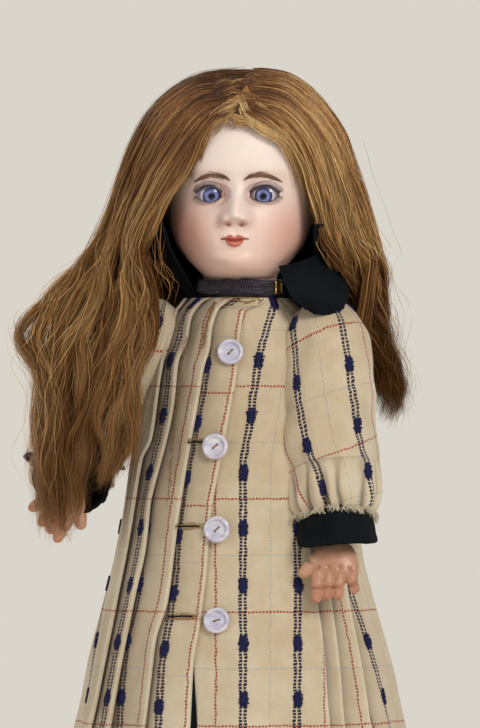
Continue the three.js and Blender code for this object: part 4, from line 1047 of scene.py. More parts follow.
def make_loose_locks():
    """Untidy short locks over the parting and forehead, and stray hairs beside the cheek."""
    lines, shade, free = [], [], []
    t = np.linspace(0, 1, STRAND_STEPS)

    def lock(points, count, spread, tone, wave, loose=False):
        base = path([at_pixel(*p) for p in points], t)
        seed = int(points[0][0] * 7 + points[-1][1])
        sway = np.random.default_rng(seed).uniform(0, 6.3, 3)
        shared = np.sin(t[:, None] * 9 + sway) * 0.5
        for _ in range(count):
            own = rng.normal(0, 1, 3) * spread * (0.35 + 0.65 * t[:, None])
            turns = np.sin(t * rng.uniform(10, 26) + rng.uniform(0, 6.3))
            curl = turns[:, None] * rng.normal(0, wave, 3) * t[:, None]
            lines.append(base + own + curl + shared * t[:, None])
            shade.append(tone + rng.normal(0, 0.4))
            free.append(loose)

    many = 1.0
    for points, count, spread, tone, wave in LOOSE_LOCKS:
        lock(points, int(count * many), spread, tone, wave)
    for _ in range(int(34 * many)):
        across = rng.uniform(-1, 1)
        start = (245 + 11 * across, rng.uniform(72, 104), -30)
        reach = rng.uniform(18, 46) * math.copysign(1, -across if rng.uniform() < 0.4 else across)
        lock([start, (start[0] + reach * 0.35, start[1] + rng.uniform(-4, 4), -30),
              (start[0] + reach, start[1] + rng.uniform(4, 22), -30)], 9, 0.8, rng.normal(-1.1, 0.5), 0.3)
    for _ in range(int(10 * many)):
        x, y = rng.uniform(150, 166), rng.uniform(206, 240)
        lock([(x, y, -36), (x + rng.uniform(-4, 6), y + 26, -38), (x + rng.uniform(0, 16), y + 52, -38),
              (x + rng.uniform(-6, 20), y + 78, -36)], 1, 0.3, -0.5, 0.5, loose=True)
    made = turned(np.array(lines), -HEAD_TURN)
    lift = rng.uniform(0.2, 2.6, (len(made), 1)) * (0.35 + 0.65 * np.sin(math.pi * np.clip(t * 1.1, 0, 1)))
    hugging = ~np.array(free)[:, None] & (made[..., 2] > CROWN[0][0])
    made[..., 1] = np.where(hugging, crown_front(made[..., 0], made[..., 2]) - lift, made[..., 1])
    strands("hair_loose_locks", turned(made), rng.uniform(0.18, 0.38, len(made)), np.array(shade))


def make_flyaways():
    """Single wavy hairs that stand off the long falls."""
    many = 1.0
    for side, guides, edge in (("right", RIGHT_LINES, -1), ("left", LEFT_LINES, 1)):
        lines, shade = strand_lines(guides[2:], int(110 * many), 3.2, 1.5, 6, shortest=0.9, first=0.3)
        grow = ramp(np.linspace(0, 1, STRAND_STEPS), 0.25, 0.9)[None, :]
        lines[..., 0] += edge * rng.uniform(0, 4, (len(lines), 1)) * grow
        lines = over_crown(lines, 1.6, 2.2)
        strands(f"hair_{side}_flyaways", lines, rng.uniform(0.18, 0.3, len(lines)), shade + 0.8, side)


make_hair()
make_loose_locks()
make_flyaways()


# Dress: sections are height, half width, front depth and back depth
DRESS = [
    (85, 93, 72, 72), (125, 83, 64, 64), (169, 71.5, 52, 53), (206, 64, 43, 45), (242, 54.5, 36.5, 37),
    (269, 50, 33, 32), (295, 46, 30.5, 28), (323, 39.5, 28, 25.5), (340, 35, 24, 23.5), (350, 28, 21, 21),
    (358, 19.8, 19, 19),
]
# Fold edges of the front from the neck to the hem: (pixel across, pixel down)
FOLD_1 = [(185, 293), (175, 308), (168, 323), (157, 377), (153, 405), (147, 440), (137, 461), (124, 546),
          (106, 640), (90, 728), (46, 918)]
FOLD_2 = [(221, 291), (197, 303), (187, 318), (183.6, 340), (175, 361), (171, 400), (160, 451), (151.6, 483),
          (147, 504), (145, 527), (142, 553), (133, 593), (121, 645), (106, 728), (72, 918)]
FOLD_3 = [(234, 296), (216.5, 308), (210, 326), (207, 348), (201, 368), (197, 392), (188.6, 440), (182, 477),
          (175.5, 520), (171.5, 553), (165, 602), (154, 639), (149, 679), (144, 728), (116, 918)]
FLAP = [(248, 291), (266, 297), (259, 304), (243, 310), (238, 340), (236, 365), (230, 402), (224, 433),
        (218, 465), (211, 500), (207, 532), (205, 568), (200.5, 605), (197, 629), (191, 666), (187, 728),
        (172, 918)]
FOLD_5 = [(302, 300), (303, 400), (306, 500), (317, 600), (324, 660), (328, 728), (346, 918)]
FOLD_6 = [(322, 300), (324, 500), (330, 590), (337, 640), (346, 728), (374, 918)]
FOLD_7 = [(340, 300), (342, 500), (348, 590), (358, 640), (372, 728), (408, 918)]
NAVY_LINE = [(276, 291), (275, 297), (271, 315), (262, 345), (258, 364), (254, 390), (251, 416), (243, 471),
             (243, 695), (243, 918)]
DRESS_LOW, DRESS_HIGH = 85, 358
SEAM_ANGLE = 92 * DEG
STRIPE_STEP = 24.0
TUFT_STEP, TUFT_TOP = 24.6, 355.6
TUFT_YARNS, TUFT_YARN_STEP = 13, 0.52
RED_STEP, RED_FIRST = 49.0, 25.3


def track(pixels, z, depth=-40):
    """How far across a line drawn on the photograph is, at heights z."""
    points = np.array([at_pixel(px, py, depth) for px, py in pixels])[::-1]
    return smooth(z, points[:, 2], points[:, 0])


def dress_frame(z):
    return [section(DRESS, z, k) for k in (1, 2, 3)]


def dress_point(angle, z, lift):
    """Point on the dress: angle from the front towards the left side, lift outwards."""
    wide, front, back = dress_frame(z)
    depth = np.where(np.cos(angle) > 0, front, back)
    low = 1 - ramp(z, 120, 250)
    soft = 2.2 * low * np.cos(12 * angle) + 0.5 * waves(angle * 1.6, z / 75, 51, 3) * ramp(z, 90, 130)
    reach = lift + soft
    x, y = (wide + reach) * np.sin(angle), -(depth + reach) * np.cos(angle)
    return np.stack([x, y, z + 0 * angle], axis=-1)


def dress_angle(x, z, lift):
    return np.arcsin(np.clip(x / (section(DRESS, z, 1) + lift), -0.999, 0.999))


def dress_stretch(angle, z):
    """Distance along the cloth for one radian at an angle."""
    wide, front, _ = dress_frame(z)
    return np.hypot(wide * np.cos(angle), front * np.sin(angle))


class Layer:
    """One visible strip of the pleated cloth between two angles, with its lift at each side.

    Its end edge lies at mark on the flat cloth, or else the line that reference draws does.
    """

    def __init__(self, start, end, low, high, columns, mark, shift=0.0, reference=None):
        self.start, self.end, self.low, self.high = start, end, low, high
        self.columns, self.mark, self.shift, self.reference = columns, mark, shift, reference


FOLD_UNDER = 6.0
FOLD_ROUND = 0.85
FOLD_COLUMNS = 8
# Rows below the cloth that turn the hem in: how far up, and how far in
HEM_ROWS = [(9, 1.7), (3, 1.7), (0.6, 1.5), (-0.2, 0.9)]


def turned_under(high, end, z):
    """Angles and lifts of the cloth that turns under at a fold, after its edge at an angle."""
    turn = np.linspace(0, math.pi, FOLD_COLUMNS - 1)[None, 1:]
    out = np.concatenate([FOLD_ROUND * np.sin(turn), [[-2.5, -FOLD_UNDER + 0.4]]], axis=1)
    drop = FOLD_ROUND * (1 - np.cos(turn))
    drop = np.concatenate([drop, [[2 * FOLD_ROUND + 0.1, 2 * FOLD_ROUND + 0.2]]], axis=1)
    return end + out / dress_stretch(end, z), high - drop + 0 * z


def hemmed(grid, weave, angle, lift, z):
    """Cloth with its lower edge turned in."""
    rows = [dress_point(angle, np.full(angle.shape, z + rise), lift - inward) for rise, inward in HEM_ROWS]
    places = [weave[0] - [0, rise, 0] for rise, _ in HEM_ROWS]
    return np.concatenate([np.stack(rows), grid]), np.concatenate([np.stack(places), weave])


def pleated(name, layers, z, open_edge=False):
    """Cloth of overlapping strips, each folded under at its end edge, with its place on the flat cloth,
    painted shade under each fold and painted highlight along its edge.
    """
    z = z[:, None]
    angles, lifts, marks, shifts, shades = [], [], [], [], []
    for k, layer in enumerate(layers):
        start, end = layer.start(z), layer.end(z)
        if k:
            start = start - FOLD_UNDER / dress_stretch(start, z)
        folded = k < len(layers) - 1 or open_edge
        share = np.linspace(0, 1, layer.columns)[None, :]
        angle = start + (end - start) * share
        lift = layer.low + (layer.high - layer.low) * share ** 1.6 + 0 * z
        here = dress_point(angle, z, lift)
        under = (share * dress_stretch(angle, z) * (end - start) - FOLD_UNDER) if k else 40 + 0 * angle
        beyond = (1 - share) * dress_stretch(angle, z) * (end - start)
        along = run_along(here)
        from_line = along[:, -1:]
        if layer.reference:
            line = layer.reference(z)[:, 0]
            places = [np.interp(x, row[:, 0], run) for x, row, run in zip(line, here, along)]
            from_line = np.array(places)[:, None]
        angles.append(angle)
        lifts.append(lift)
        marks.append(layer.mark + along - from_line)
        # Painted shade on the cloth just under the fold before it, and painted highlight along this strip's
        # folded edge
        shades.append(np.exp(-np.clip(under, 0, None) / 3.4) - (0.9 * np.exp(-beyond / 0.5) if folded else 0))
        if folded:
            angle, lift = turned_under(layer.high, end, z)
            angles.append(angle)
            lifts.append(lift)
            marks.append(marks[-1][:, -1:] + np.linspace(0.4, 8, FOLD_COLUMNS)[None, :])
            # Painted highlight on the turned edge, then painted shade as it goes under
            shades.append(np.linspace(-0.8, 1, FOLD_COLUMNS)[None, :] ** 3 + 0 * angle)
        shifts += [layer.shift] * (layer.columns + FOLD_COLUMNS * folded)
    angle, lift, mark, shade = (np.concatenate(each, axis=1) for each in (angles, lifts, marks, shades))
    weave = np.stack([mark, z + np.array(shifts), shade], axis=-1)
    grid, weave = hemmed(dress_point(angle, z + 0 * angle, lift), weave, angle[0], lift[0], z[0, 0])
    made = grid_object(name, grid, DRESS_CLOTH)
    weave_points(made, weave)
    return made, grid, weave


def plaid_material(name):
    """Cream wool with navy dotted stripes, fine pale stripes and dashed red lines, all woven in, with painted
    shade and highlight from the third weave value.
    """
    paint = Paint(name, "d8c9a4", Roughness=0.9, Specular_IOR_Level=0.25, Sheen_Weight=0.25)
    parts = paint.weave()
    wobble = paint.span(paint.noise(260, 2), 0.3, 0.7, -0.35, 0.35)
    across = paint.math("ADD", parts[0], wobble)
    along = paint.math("ADD", parts[1], paint.math("MULTIPLY", wobble, 0.7))

    def beside(value, first, step):
        """Distance from the nearest of evenly spaced lines."""
        shifted = paint.math("ADD", value, step * 64.5 - first)
        return paint.math("ABSOLUTE", paint.math("SUBTRACT", paint.math("MODULO", shifted, step), step / 2))

    def inside(value, half, soft=0.12):
        return paint.span(value, half + soft, half - soft)

    def both(*values):
        product = values[0]
        for value in values[1:]:
            product = paint.math("MULTIPLY", product, value)
        return product

    def dashes(value, step, half):
        return inside(beside(value, 0.0, step), half)

    def lines_along(value, first, step):
        return inside(beside(value, first, step), 0.2)

    rows = paint.math("ABSOLUTE", paint.math("SUBTRACT", beside(across, 0.0, STRIPE_STEP), 1.02))
    navy = both(inside(rows, 0.68), dashes(along, 1.42, 0.52))
    pale_up = both(lines_along(across, 12.0, 48.0), dashes(along, 1.5, 0.5))
    pale_cross = both(lines_along(along, RED_FIRST - RED_STEP / 2, RED_STEP), dashes(across, 1.5, 0.5))
    red_up = both(inside(beside(across, 36.0, 48.0), 0.42), dashes(along, 1.5, 0.52))
    red_cross = both(inside(beside(along, RED_FIRST, RED_STEP), 0.42), dashes(across, 1.5, 0.52))
    stains = paint.span(paint.noise(16, 4), 0.35, 0.75)
    wool = paint.mix(stains, "dccbac", "c7ae8a")
    wool = paint.mix(paint.span(paint.noise(110, 3), 0.4, 0.7, 0.0, 0.35), wool, "eaddc4")
    threads = paint.math("ADD", dashes(across, 0.44, 0.1), dashes(along, 0.44, 0.1))
    wool = paint.mix(paint.math("MULTIPLY", threads, 0.14), wool, "a68f63")
    wool = paint.mix(paint.math("MULTIPLY", paint.math("MAXIMUM", pale_up, pale_cross), 0.55), wool, "7d8b96")
    wool = paint.mix(paint.math("MAXIMUM", red_up, red_cross), wool, "a8402a")
    wool = paint.mix(navy, wool, "161434")
    # Painted shade: dark brown where the third weave value is above zero
    wool = paint.mix(paint.span(parts[2], 0, 1, 0, 0.74), wool, "432e1f")
    # Painted highlight: pale cream where the third weave value is below zero
    paint.colour(paint.mix(paint.span(parts[2], 0, -1, 0, 0.4), wool, "f3e8d0"))
    raised = paint.math("ADD", paint.math("MULTIPLY", threads, -0.35), paint.math("MAXIMUM", navy, red_up))
    paint.relief(paint.math("ADD", raised, paint.math("MULTIPLY", paint.noise(700, 2), 0.8)), 0.25)
    return paint.material


DRESS_CLOTH = plaid_material("dress_cloth")


def yarn_material(name, colour, other):
    paint = Paint(name, colour, Roughness=0.95, Specular_IOR_Level=0.2)
    fine = paint.span(paint.noise(1800, 2), 0.3, 0.7)
    paint.colour(paint.mix(fine, colour, other))
    paint.relief(fine, 0.2)
    return paint.material


NAVY_YARN = yarn_material("navy_yarn", "1b1a3c", "2c2c55")
CREAM_YARN = yarn_material("cream_yarn", "c9b184", "a5854f")
PALE_YARN = yarn_material("pale_yarn", "efe4cb", "d3c19c")
TAN_YARN = yarn_material("tan_yarn", "b5935c", "8a6436")


def tufts(name, frames):
    """Raised tufts of short arched yarns, each with its centre and its across, up and outward directions."""
    lines = []
    bend = np.linspace(-1, 1, 5)[:, None]
    arch = 0.5 * (1 - bend ** 2) + 0.05
    for centre, side, rise, face in frames:
        for k in range(TUFT_YARNS):
            level = (k - TUFT_YARNS // 2) * TUFT_YARN_STEP + rng.normal(0, 0.12)
            half = 2.1 * math.sqrt(max(0.15, 1 - (level / 3.9) ** 2)) + rng.normal(0, 0.25)
            tilt = rng.normal(0, 0.12)
            lines.append(centre + side * bend * half + rise * (level + tilt * bend) + face * arch)
    return tubes(name, lines, [0.34] * len(lines), NAVY_YARN, sides=5)


def cloth_tufts(name, grid, weave, bands):
    """Tufts where navy stripes cross the tuft heights, in bands (first column, last column) of seen cloth."""
    frames = []
    heights = TUFT_TOP - TUFT_STEP * np.arange(12)
    for first, last in bands:
        places, marks = (rows[len(HEM_ROWS):, first:last] for rows in (grid, weave))
        for height in heights:
            row = int(np.argmin(np.abs(marks[:, 0, 1] - height)))
            if abs(marks[row, 0, 1] - height) > 1.5 or row < 2 or row > len(places) - 2:
                continue
            u = marks[row, :, 0]
            first_stripe = math.ceil(u.min() / STRIPE_STEP) * STRIPE_STEP
            for stripe in np.arange(first_stripe, u.max(), STRIPE_STEP):
                if u.max() - stripe < 1.6 or stripe - u.min() < 1.6:
                    continue
                j = int(np.clip(np.searchsorted(u, stripe), 1, len(u) - 2))
                side = unit(places[row, j + 1] - places[row, j - 1])
                rise = unit(places[row + 1, j] - places[row - 1, j])
                frames.append((places[row, j], side, rise, unit(np.cross(side, rise))))
    return tufts(name, frames)


def skirt_blend(made):
    """Sets a skirt piece's points where they stand in the world."""
    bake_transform(made)
    return made


def angle_of(pixels, lift):
    """Angle round the dress of a line drawn on the photograph, as a function of height."""
    return lambda z: dress_angle(track(pixels, z), z, lift)


def seam_angle(z):
    return SEAM_ANGLE + 0 * z


def seen_bands(layers, inset):
    """First and last column of each strip that shows, past what is folded under it."""
    starts = np.cumsum([0] + [layer.columns + FOLD_COLUMNS for layer in layers[:-1]])
    return [(start + inset, start + layer.columns) for start, layer in zip(starts, layers)]


def make_front():
    """The flap with its four pleats on the right, and the front under it that carries the buttons."""
    z = np.linspace(DRESS_LOW, DRESS_HIGH, 330)
    layers = [
        Layer(lambda z: -seam_angle(z), angle_of(FOLD_1, 6), 0.3, 6.0, 60, 12 + 6.0),
        Layer(angle_of(FOLD_1, 6), angle_of(FOLD_2, 5.6), 2.2, 5.6, 70, 24 + 3.5),
        Layer(angle_of(FOLD_2, 5.6), angle_of(FOLD_3, 4.6), 1.8, 4.6, 80, 36 + 3.5),
        Layer(angle_of(FOLD_3, 4.6), angle_of(FLAP, 2.2), 1.7, 2.2, 90, 36 + 1.2, shift=3.0),
    ]
    made, flap, weave = pleated("dress_flap_front", layers, z, open_edge=True)
    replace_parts(made, "dress_right_front")
    skirt_blend(made)
    raised = cloth_tufts("dress_flap_tufts", flap, weave, seen_bands(layers, FOLD_COLUMNS))
    skirt_blend(raised)
    layers = [
        Layer(lambda z: dress_angle(track(FLAP, z) - 16, z, 0), angle_of(FOLD_5, 2), 0.0, 1.6, 190, 0.0,
              reference=lambda z: track(NAVY_LINE, z)),
        Layer(angle_of(FOLD_5, 2), angle_of(FOLD_6, 1.6), -0.6, 1.6, 60, 58.0),
        Layer(angle_of(FOLD_6, 1.6), angle_of(FOLD_7, 1.6), -0.6, 1.6, 60, 88.0),
        Layer(angle_of(FOLD_7, 1.6), seam_angle, -0.6, 0.3, 60, 120.0),
    ]
    made, grid, weave = pleated("dress_button_front", layers, z)
    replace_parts(made, "dress_left_front")
    skirt_blend(made)
    raised = cloth_tufts("dress_button_tufts", grid, weave, seen_bands(layers, FOLD_COLUMNS + 2))
    skirt_blend(raised)
    return flap


def make_back():
    """The back in two halves that meet at the middle, gathered below the neck."""
    z = np.linspace(DRESS_LOW, DRESS_HIGH, 240)[:, None]
    share = np.linspace(0, 1, 150)[None, :]
    for side, sign in (("left", 1), ("right", -1)):
        angle = sign * (SEAM_ANGLE - 0.03 + (math.pi - SEAM_ANGLE + 0.03) * share)
        gather = 0.9 * np.abs(np.sin(angle * 10)) * ramp(z, 250, 345)
        grid = dress_point(angle + 0 * z, z + 0 * angle, -0.9 + gather)[:, ::sign]
        along = run_along(grid)
        from_middle = along - along[:, -1:] * (sign > 0)
        weave = np.stack([from_middle, z + 0 * along, 0 * along], axis=-1)
        made = grid_object(f"dress_{side}_back", grid, DRESS_CLOTH)
        weave_points(made, weave)
        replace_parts(made, "dress_back")
        skirt_blend(made)


def on_cloth(grid, px, py, lift=0.0):
    """Point of the cloth nearest to the camera at a pixel of the photograph."""
    across, down = to_pixel(grid)
    off = np.hypot(across - px, down - py)
    near = off < off.min() + 1.0
    return grid[near][np.argmin(grid[near][:, 1])] - [0, lift, 0]


# Hand-sewn details on the flap: lines and buttonholes, (pixel across, pixel down)
SEAM_LINES = [
    [(188, 334), (182, 358), (177, 395), (173, 430), (170, 462), (167, 500)],
    [(214, 300), (209, 312), (205, 326), (202, 345)],
]
NECK_THREADS = [
    [(222, 297), (230, 293), (240, 296), (249, 293), (258, 296), (262, 301)],
    [(228, 300), (238, 299), (246, 302), (256, 299)],
]
BUTTONHOLES = [((189, 441), (203, 441)), ((177, 526), (198, 525)), ((167, 616), (192, 615))]


def make_seam_threads(grid):
    """Running stitches that have come loose along a pleat, and threads at the neck."""
    lines = []
    for pixels in SEAM_LINES:
        line = path(pixels, np.linspace(0, 1, 70))
        for k, (px, py) in enumerate(line[:-1]):
            side = 1.1 if k % 2 else -0.9
            root = on_cloth(grid, px + rng.normal(0, 0.5), py, 0.2)
            tip = on_cloth(grid, px + side * rng.uniform(0.6, 1.6), py + rng.uniform(1.5, 4), 0.2)
            lines.append([root, (root + tip) / 2 + [rng.normal(0, 0.2), -rng.uniform(0.3, 0.8), 0], tip])
    for pixels in NECK_THREADS:
        for _ in range(4):
            line = path(pixels, np.linspace(0, 1, 16)) + rng.normal(0, 0.5, (16, 2))
            places = [on_cloth(grid, px, py, rng.uniform(0.2, 0.7)) for px, py in line]
            lines.append(path(places, np.linspace(0, 1, 30)))
    widest = max(len(line) for line in lines)
    lines = [path(line, np.linspace(0, 1, widest)) for line in lines]
    skirt_blend(tubes("dress_seam_threads", lines, [0.13] * len(lines), TAN_YARN, sides=4))


def make_buttonholes(grid):
    """Three worked slits across the flap, with worn thread round them."""
    stitches, slits = [], []
    for (left, down), (right, low) in BUTTONHOLES:
        t = np.linspace(0, 1, 9)
        slits.append([on_cloth(grid, left + (right - left) * k, down + (low - down) * k, 0.05) for k in t])
        for k in np.linspace(-0.06, 1.06, 34):
            px, py = left + (right - left) * k, down + (low - down) * k
            open_by = 0.5 + 1.1 * math.sin(math.pi * min(max(k, 0), 1))
            for way in (-1, 1):
                root = on_cloth(grid, px, py + way * open_by * 0.5, 0.25)
                tip_px = px + rng.normal(0, 0.4)
                tip = on_cloth(grid, tip_px, py + way * (open_by + rng.uniform(1.2, 2.4)), 0.1)
                stitches.append([root, (root + tip) / 2 - [0, 0.35, 0], tip])
        curl = on_cloth(grid, right, low, 0.3)
        for _ in range(5):
            end = curl + np.array([rng.uniform(0.5, 3.5), -rng.uniform(0.3, 1.2), rng.normal(0, 1.4)])
            stitches.append([curl, (curl + end) / 2 + rng.normal(0, 0.5, 3), end])
    skirt_blend(tubes("buttonhole_stitches", stitches, [0.11] * len(stitches), CREAM_YARN, sides=4))
    shadow = yarn_material("buttonhole_shadow", "20160f", "120c08")
    skirt_blend(tubes("buttonhole_slits", slits, [0.48] * len(slits), shadow, sides=8))


make_back()
flap = make_front()
make_seam_threads(flap)
make_buttonholes(flap)


# Arms: the pose that the photograph shows, as matrices of the upper arm, elbow and hand
SHOULDER = (39, -3.2, 337)
UPPER_ARM, FOREARM = 52.0, 42.0
ARMS = {
    "left": {"sign": 1, "swing": 10, "raise": 4, "bend": 22, "wrist": -4, "hang": 1, "lean": 8},
    "right": {"sign": -1, "swing": -20, "raise": 36, "bend": 80, "wrist": -34, "hang": 0, "lean": 0},
}


def turned_at(place, degrees, axis):
    """Matrix that turns about an axis and then moves to a place."""
    return Matrix.Translation(place) @ Matrix.Rotation(degrees * DEG, 4, axis)


def arm_frames(side):
    held = ARMS[side]
    ball = turned_at((held["sign"] * SHOULDER[0], *SHOULDER[1:]), -held["swing"], "X")
    upper = ball @ Matrix.Rotation(-held["sign"] * held["raise"] * DEG, 4, "Y")
    elbow = upper @ turned_at((0, 0, -UPPER_ARM), -held["bend"], "X")
    hand = elbow @ turned_at((0, 0, -FOREARM), -held["wrist"], "X")
    return {"upper": np.array(upper), "elbow": np.array(elbow), "hand": np.array(hand)}


def placed(points, matrix):
    return np.asarray(points, float) @ matrix[:3, :3].T + matrix[:3, 3]


def ring_frames(centres, first_side):
    """Two directions across a line at each of its points, carried along without twisting."""
    along = np.gradient(centres, axis=0)
    along /= np.linalg.norm(along, axis=1, keepdims=True)
    side = np.empty_like(centres)
    carried = np.asarray(first_side, float)
    for i, direction in enumerate(along):
        carried = carried - direction * (carried @ direction)
        carried /= np.linalg.norm(carried)
        side[i] = carried
    return along, side, np.cross(along, side)


# Sleeves: the middle line from the shoulder to the cuff, and the radius along it
SLEEVE_LINES = {
    "left": [(37, -2, 357), (37.5, -6, 347), (37.6, -11, 335), (37.6, -15.5, 318), (38, -18, 301),
             (39.6, -19.5, 285), (41, -23.5, 273), (41.6, -27, 262)],
    "right": [(-33, -2, 357), (-38, -3, 347), (-46, -0.5, 334), (-56, 5, 317), (-66, 9.5, 303),
              (-72.5, 6, 291), (-73.4, -4, 286.5), (-72.4, -13.4, 284.4)],
}
# Share of the way to the cuff, in percent, and radius
SLEEVE_RADII = [(0, 1), (2, 7.5), (6, 12.2), (12, 16.6), (20, 19.8), (34, 21.2), (50, 21.6), (66, 21.4),
                (80, 20.6), (90, 19.6), (96, 18.6), (100, 17.6)]
SLEEVE_SPLIT = 50
SLEEVE_SEEDS = {"left": 61, "right": 62}
GATHERS = 14
# Angles of a navy stripe round the sleeve, along it
STRIPE_ANGLES = {
    "left": [(0, 0), (20, 14), (50, 25), (75, 37), (100, 50)],
    "right": [(0, 0), (50, 10), (100, 30)],
}


def beside_dress(points, lift):
    """Moves points that lie inside the dress out to its surface."""
    wide, front, back = dress_frame(points[..., 2])
    depth = np.where(points[..., 1] < 0, front, back)
    reach = np.hypot(points[..., 0] / (wide + lift), points[..., 1] / (depth + lift))
    return points * np.stack([1 / np.clip(reach, 0.3, 1)] * 2 + [np.ones_like(reach)], axis=-1)


# Least distance from an arm's axis to the sleeve round it
ARM_CLEAR = 10.5


def arm_distance(side, points):
    """Distance of points from the bent axis of an arm."""
    frames = arm_frames(side)
    ends = [frames[key][:3, 3] for key in ("upper", "elbow", "hand")]
    nearest = np.full(points.shape[:-1], 1e9)
    for start, end in zip(ends, ends[1:]):
        way = end - start
        t = np.clip((points - start) @ way / (way @ way), 0, 1)
        nearest = np.minimum(nearest, np.linalg.norm(points - start - t[..., None] * way, axis=-1))
    return nearest


def clear_of_arm(side, grid, moved):
    """Moves a sleeve's points towards where they are wanted, as far as the arm inside lets them."""
    best, free = grid.copy(), np.ones(grid.shape[:-1], bool)
    for share in np.linspace(0, 1, 21)[1:]:
        tried = grid + (moved - grid) * share
        free &= arm_distance(side, tried) > ARM_CLEAR
        best[free] = tried[free]
    return best


def sleeve_grid(side, rows, columns):
    """Points of a whole sleeve, with its place on the flat cloth and its painted shade, from the shoulder
    down to the cuff.
    """
    fine = path(SLEEVE_LINES[side], np.linspace(0, 1, rows * 4))
    run = np.concatenate([[0], np.cumsum(np.linalg.norm(np.diff(fine, axis=0), axis=1))])
    total = run[-1]
    level = np.linspace(0, 1, rows)
    distance = total * np.where(level < 0.12, level * 0.6, 0.072 + (level - 0.12) * 0.928 / 0.88)
    centres = np.stack([np.interp(distance, run, fine[:, k]) for k in range(3)], axis=-1)
    _, out, front = ring_frames(centres, (1, 0, 0))
    share = (distance / total * 100)[:, None]
    angle = np.linspace(-math.pi, math.pi, columns)[None, :]
    radius = section(SLEEVE_RADII, share, 1)
    seed = SLEEVE_SEEDS[side]
    gather = 2 * np.abs(np.cos(GATHERS * angle / 2 + 0.9 * waves(angle * 0.6, share / 60, seed + 5))) - 1
    low = ramp(share, 64, 96) ** 1.6
    puff = 0.9 * waves(angle / 2.2, share / 46, seed, 2) + 0.35 * waves(angle * 1.6, share / 24, seed + 1, 2)
    crease = bump(share - 47 + 6 * np.sin(angle), 3.2) * ramp(np.cos(angle + 1.9), 0.1, 0.9)
    depth = 1.6 + 0.8 * waves(angle, share / 90, seed + 7)
    reach = radius + puff * ramp(share, 4, 20) - 2.2 * crease + depth * gather * low
    reach = reach - 1.2 * ramp(share, 96, 100)
    toward = front[:, None] * np.cos(angle)[..., None] + out[:, None] * np.sin(angle)[..., None]
    grid = centres[:, None] + reach[..., None] * toward
    grid = clear_of_arm(side, grid, grid + (beside_dress(grid, 0.5) - grid) * ramp(share, 10, 22)[..., None])
    stripe = section(STRIPE_ANGLES[side], share, 1) * DEG
    mark = 21.5 + 20.6 * (angle - stripe)
    # Painted shade in the valleys of the gathers and along the crease
    shade = 0.85 * ramp(-gather, -0.3, 1) * low + 0.35 * crease
    weave = np.stack([mark, 338.4 - distance[:, None] - 0.27 * (mark - 24), shade], axis=-1)
    return grid, weave, share[:, 0]


def make_sleeve(side):
    """Sleeve in an upper and a lower piece, parted where the elbow bends, with its raw gathered end."""
    rows, columns = ((200, 220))
    grid, weave, share = sleeve_grid(side, rows, columns)
    cut = int(np.searchsorted(share, SLEEVE_SPLIT))
    inner = grid[-1:] * 0.94 + grid[-1:].mean(axis=1, keepdims=True) * 0.06
    pieces = [("upper", grid[:cut + 1], weave[:cut + 1]),
              ("lower", np.concatenate([grid[cut:], inner]), np.concatenate([weave[cut:], weave[-1:]]))]
    for part, points, places in pieces:
        made = grid_object(f"{side}_sleeve_{part}", points, DRESS_CLOTH)
        weave_points(made, places)
        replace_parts(made, f"{side}_sleeve")
        hang_sleeve(made, side, part)
        raised = sleeve_tufts(f"{side}_sleeve_{part}_tufts", points, places)
        hang_sleeve(raised, side, part)
    fringe = frayed_edge(f"{side}_sleeve_fray", grid[-4], grid[-1])
    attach(fringe, f"{side}_forearm")


def hang_sleeve(made, side, part):
    if part == "upper":
        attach(made, f"{side}_arm")
    else:
        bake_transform(made)


def sleeve_tufts(name, grid, weave):
    frames = []
    for stripe in STRIPE_STEP * np.arange(-3, 4):
        for height in TUFT_TOP - TUFT_STEP * np.arange(8) - 3.2:
            gap = np.hypot(weave[..., 0] - stripe, weave[..., 1] - height)
            i, j = np.unravel_index(int(gap.argmin()), gap.shape)
            if gap[i, j] > 1.2 or not 0 < i < len(grid) - 2 or not 0 < j < grid.shape[1] - 1:
                continue
            side, rise = unit(grid[i, j + 1] - grid[i, j - 1]), unit(grid[i - 1, j] - grid[i + 1, j])
            frames.append((grid[i, j], side, rise, np.cross(side, rise)))
    return tufts(name, frames)


def frayed_edge(name, inner_ring, ring):
    """Loose cream threads along the raw end of a sleeve."""
    middle = ring.mean(axis=0)
    down = unit(middle - inner_ring.mean(axis=0))
    lines = []
    t = np.linspace(0, 1, 6)[:, None]
    for k in rng.uniform(0, len(ring) - 1, 900):
        out = unit(ring[int(k)] - middle)
        root = ring[int(k)] + out * rng.uniform(0, 0.5) - down * rng.uniform(0, 1.2)
        way = down + out * rng.uniform(0.1, 0.6) + np.cross(out, down) * rng.normal(0, 0.5)
        bend = out * rng.uniform(0.2, 0.9) * np.sin(t * rng.uniform(1.5, 3.2))
        lines.append(root + way * t * rng.uniform(1.2, 3.6) + bend)
    return tubes(name, lines, rng.uniform(0.08, 0.14, len(lines)), PALE_YARN, sides=4)


def velvet_material():
    paint = Paint("velvet", "0c1020", Roughness=0.85, Specular_IOR_Level=0.12, Sheen_Weight=0.1,
                  Sheen_Roughness=0.35, Sheen_Tint=(*linear("3a4e5a"), 1))
    pile = paint.span(paint.noise(60, 4), 0.35, 0.7)
    nap = paint.noise(1500, 2)
    paint.colour(paint.mix(pile, "05080b", "0d1318"))
    paint.relief(paint.math("ADD", nap, paint.math("MULTIPLY", pile, 0.8)), 0.5)
    return paint.material


VELVET = velvet_material()
# Cuff's outline from its upper edge down the outside and up the inside: share of the forearm, and radius
CUFF_PROFILE = [(0.655, 14.6), (0.66, 15.5), (0.69, 16.0), (0.74, 16.6), (0.82, 17.2), (0.92, 17.5),
                (0.975, 17.3), (0.995, 16.6), (1.0, 15.8), (0.985, 15.2), (0.9, 15.0), (0.7, 14.3)]


def profile_rows(profile, count):
    """Two columns of points along a profile, each as rows for a grid."""
    return (column[:, None] for column in path(profile, np.linspace(0, 1, count)).T)


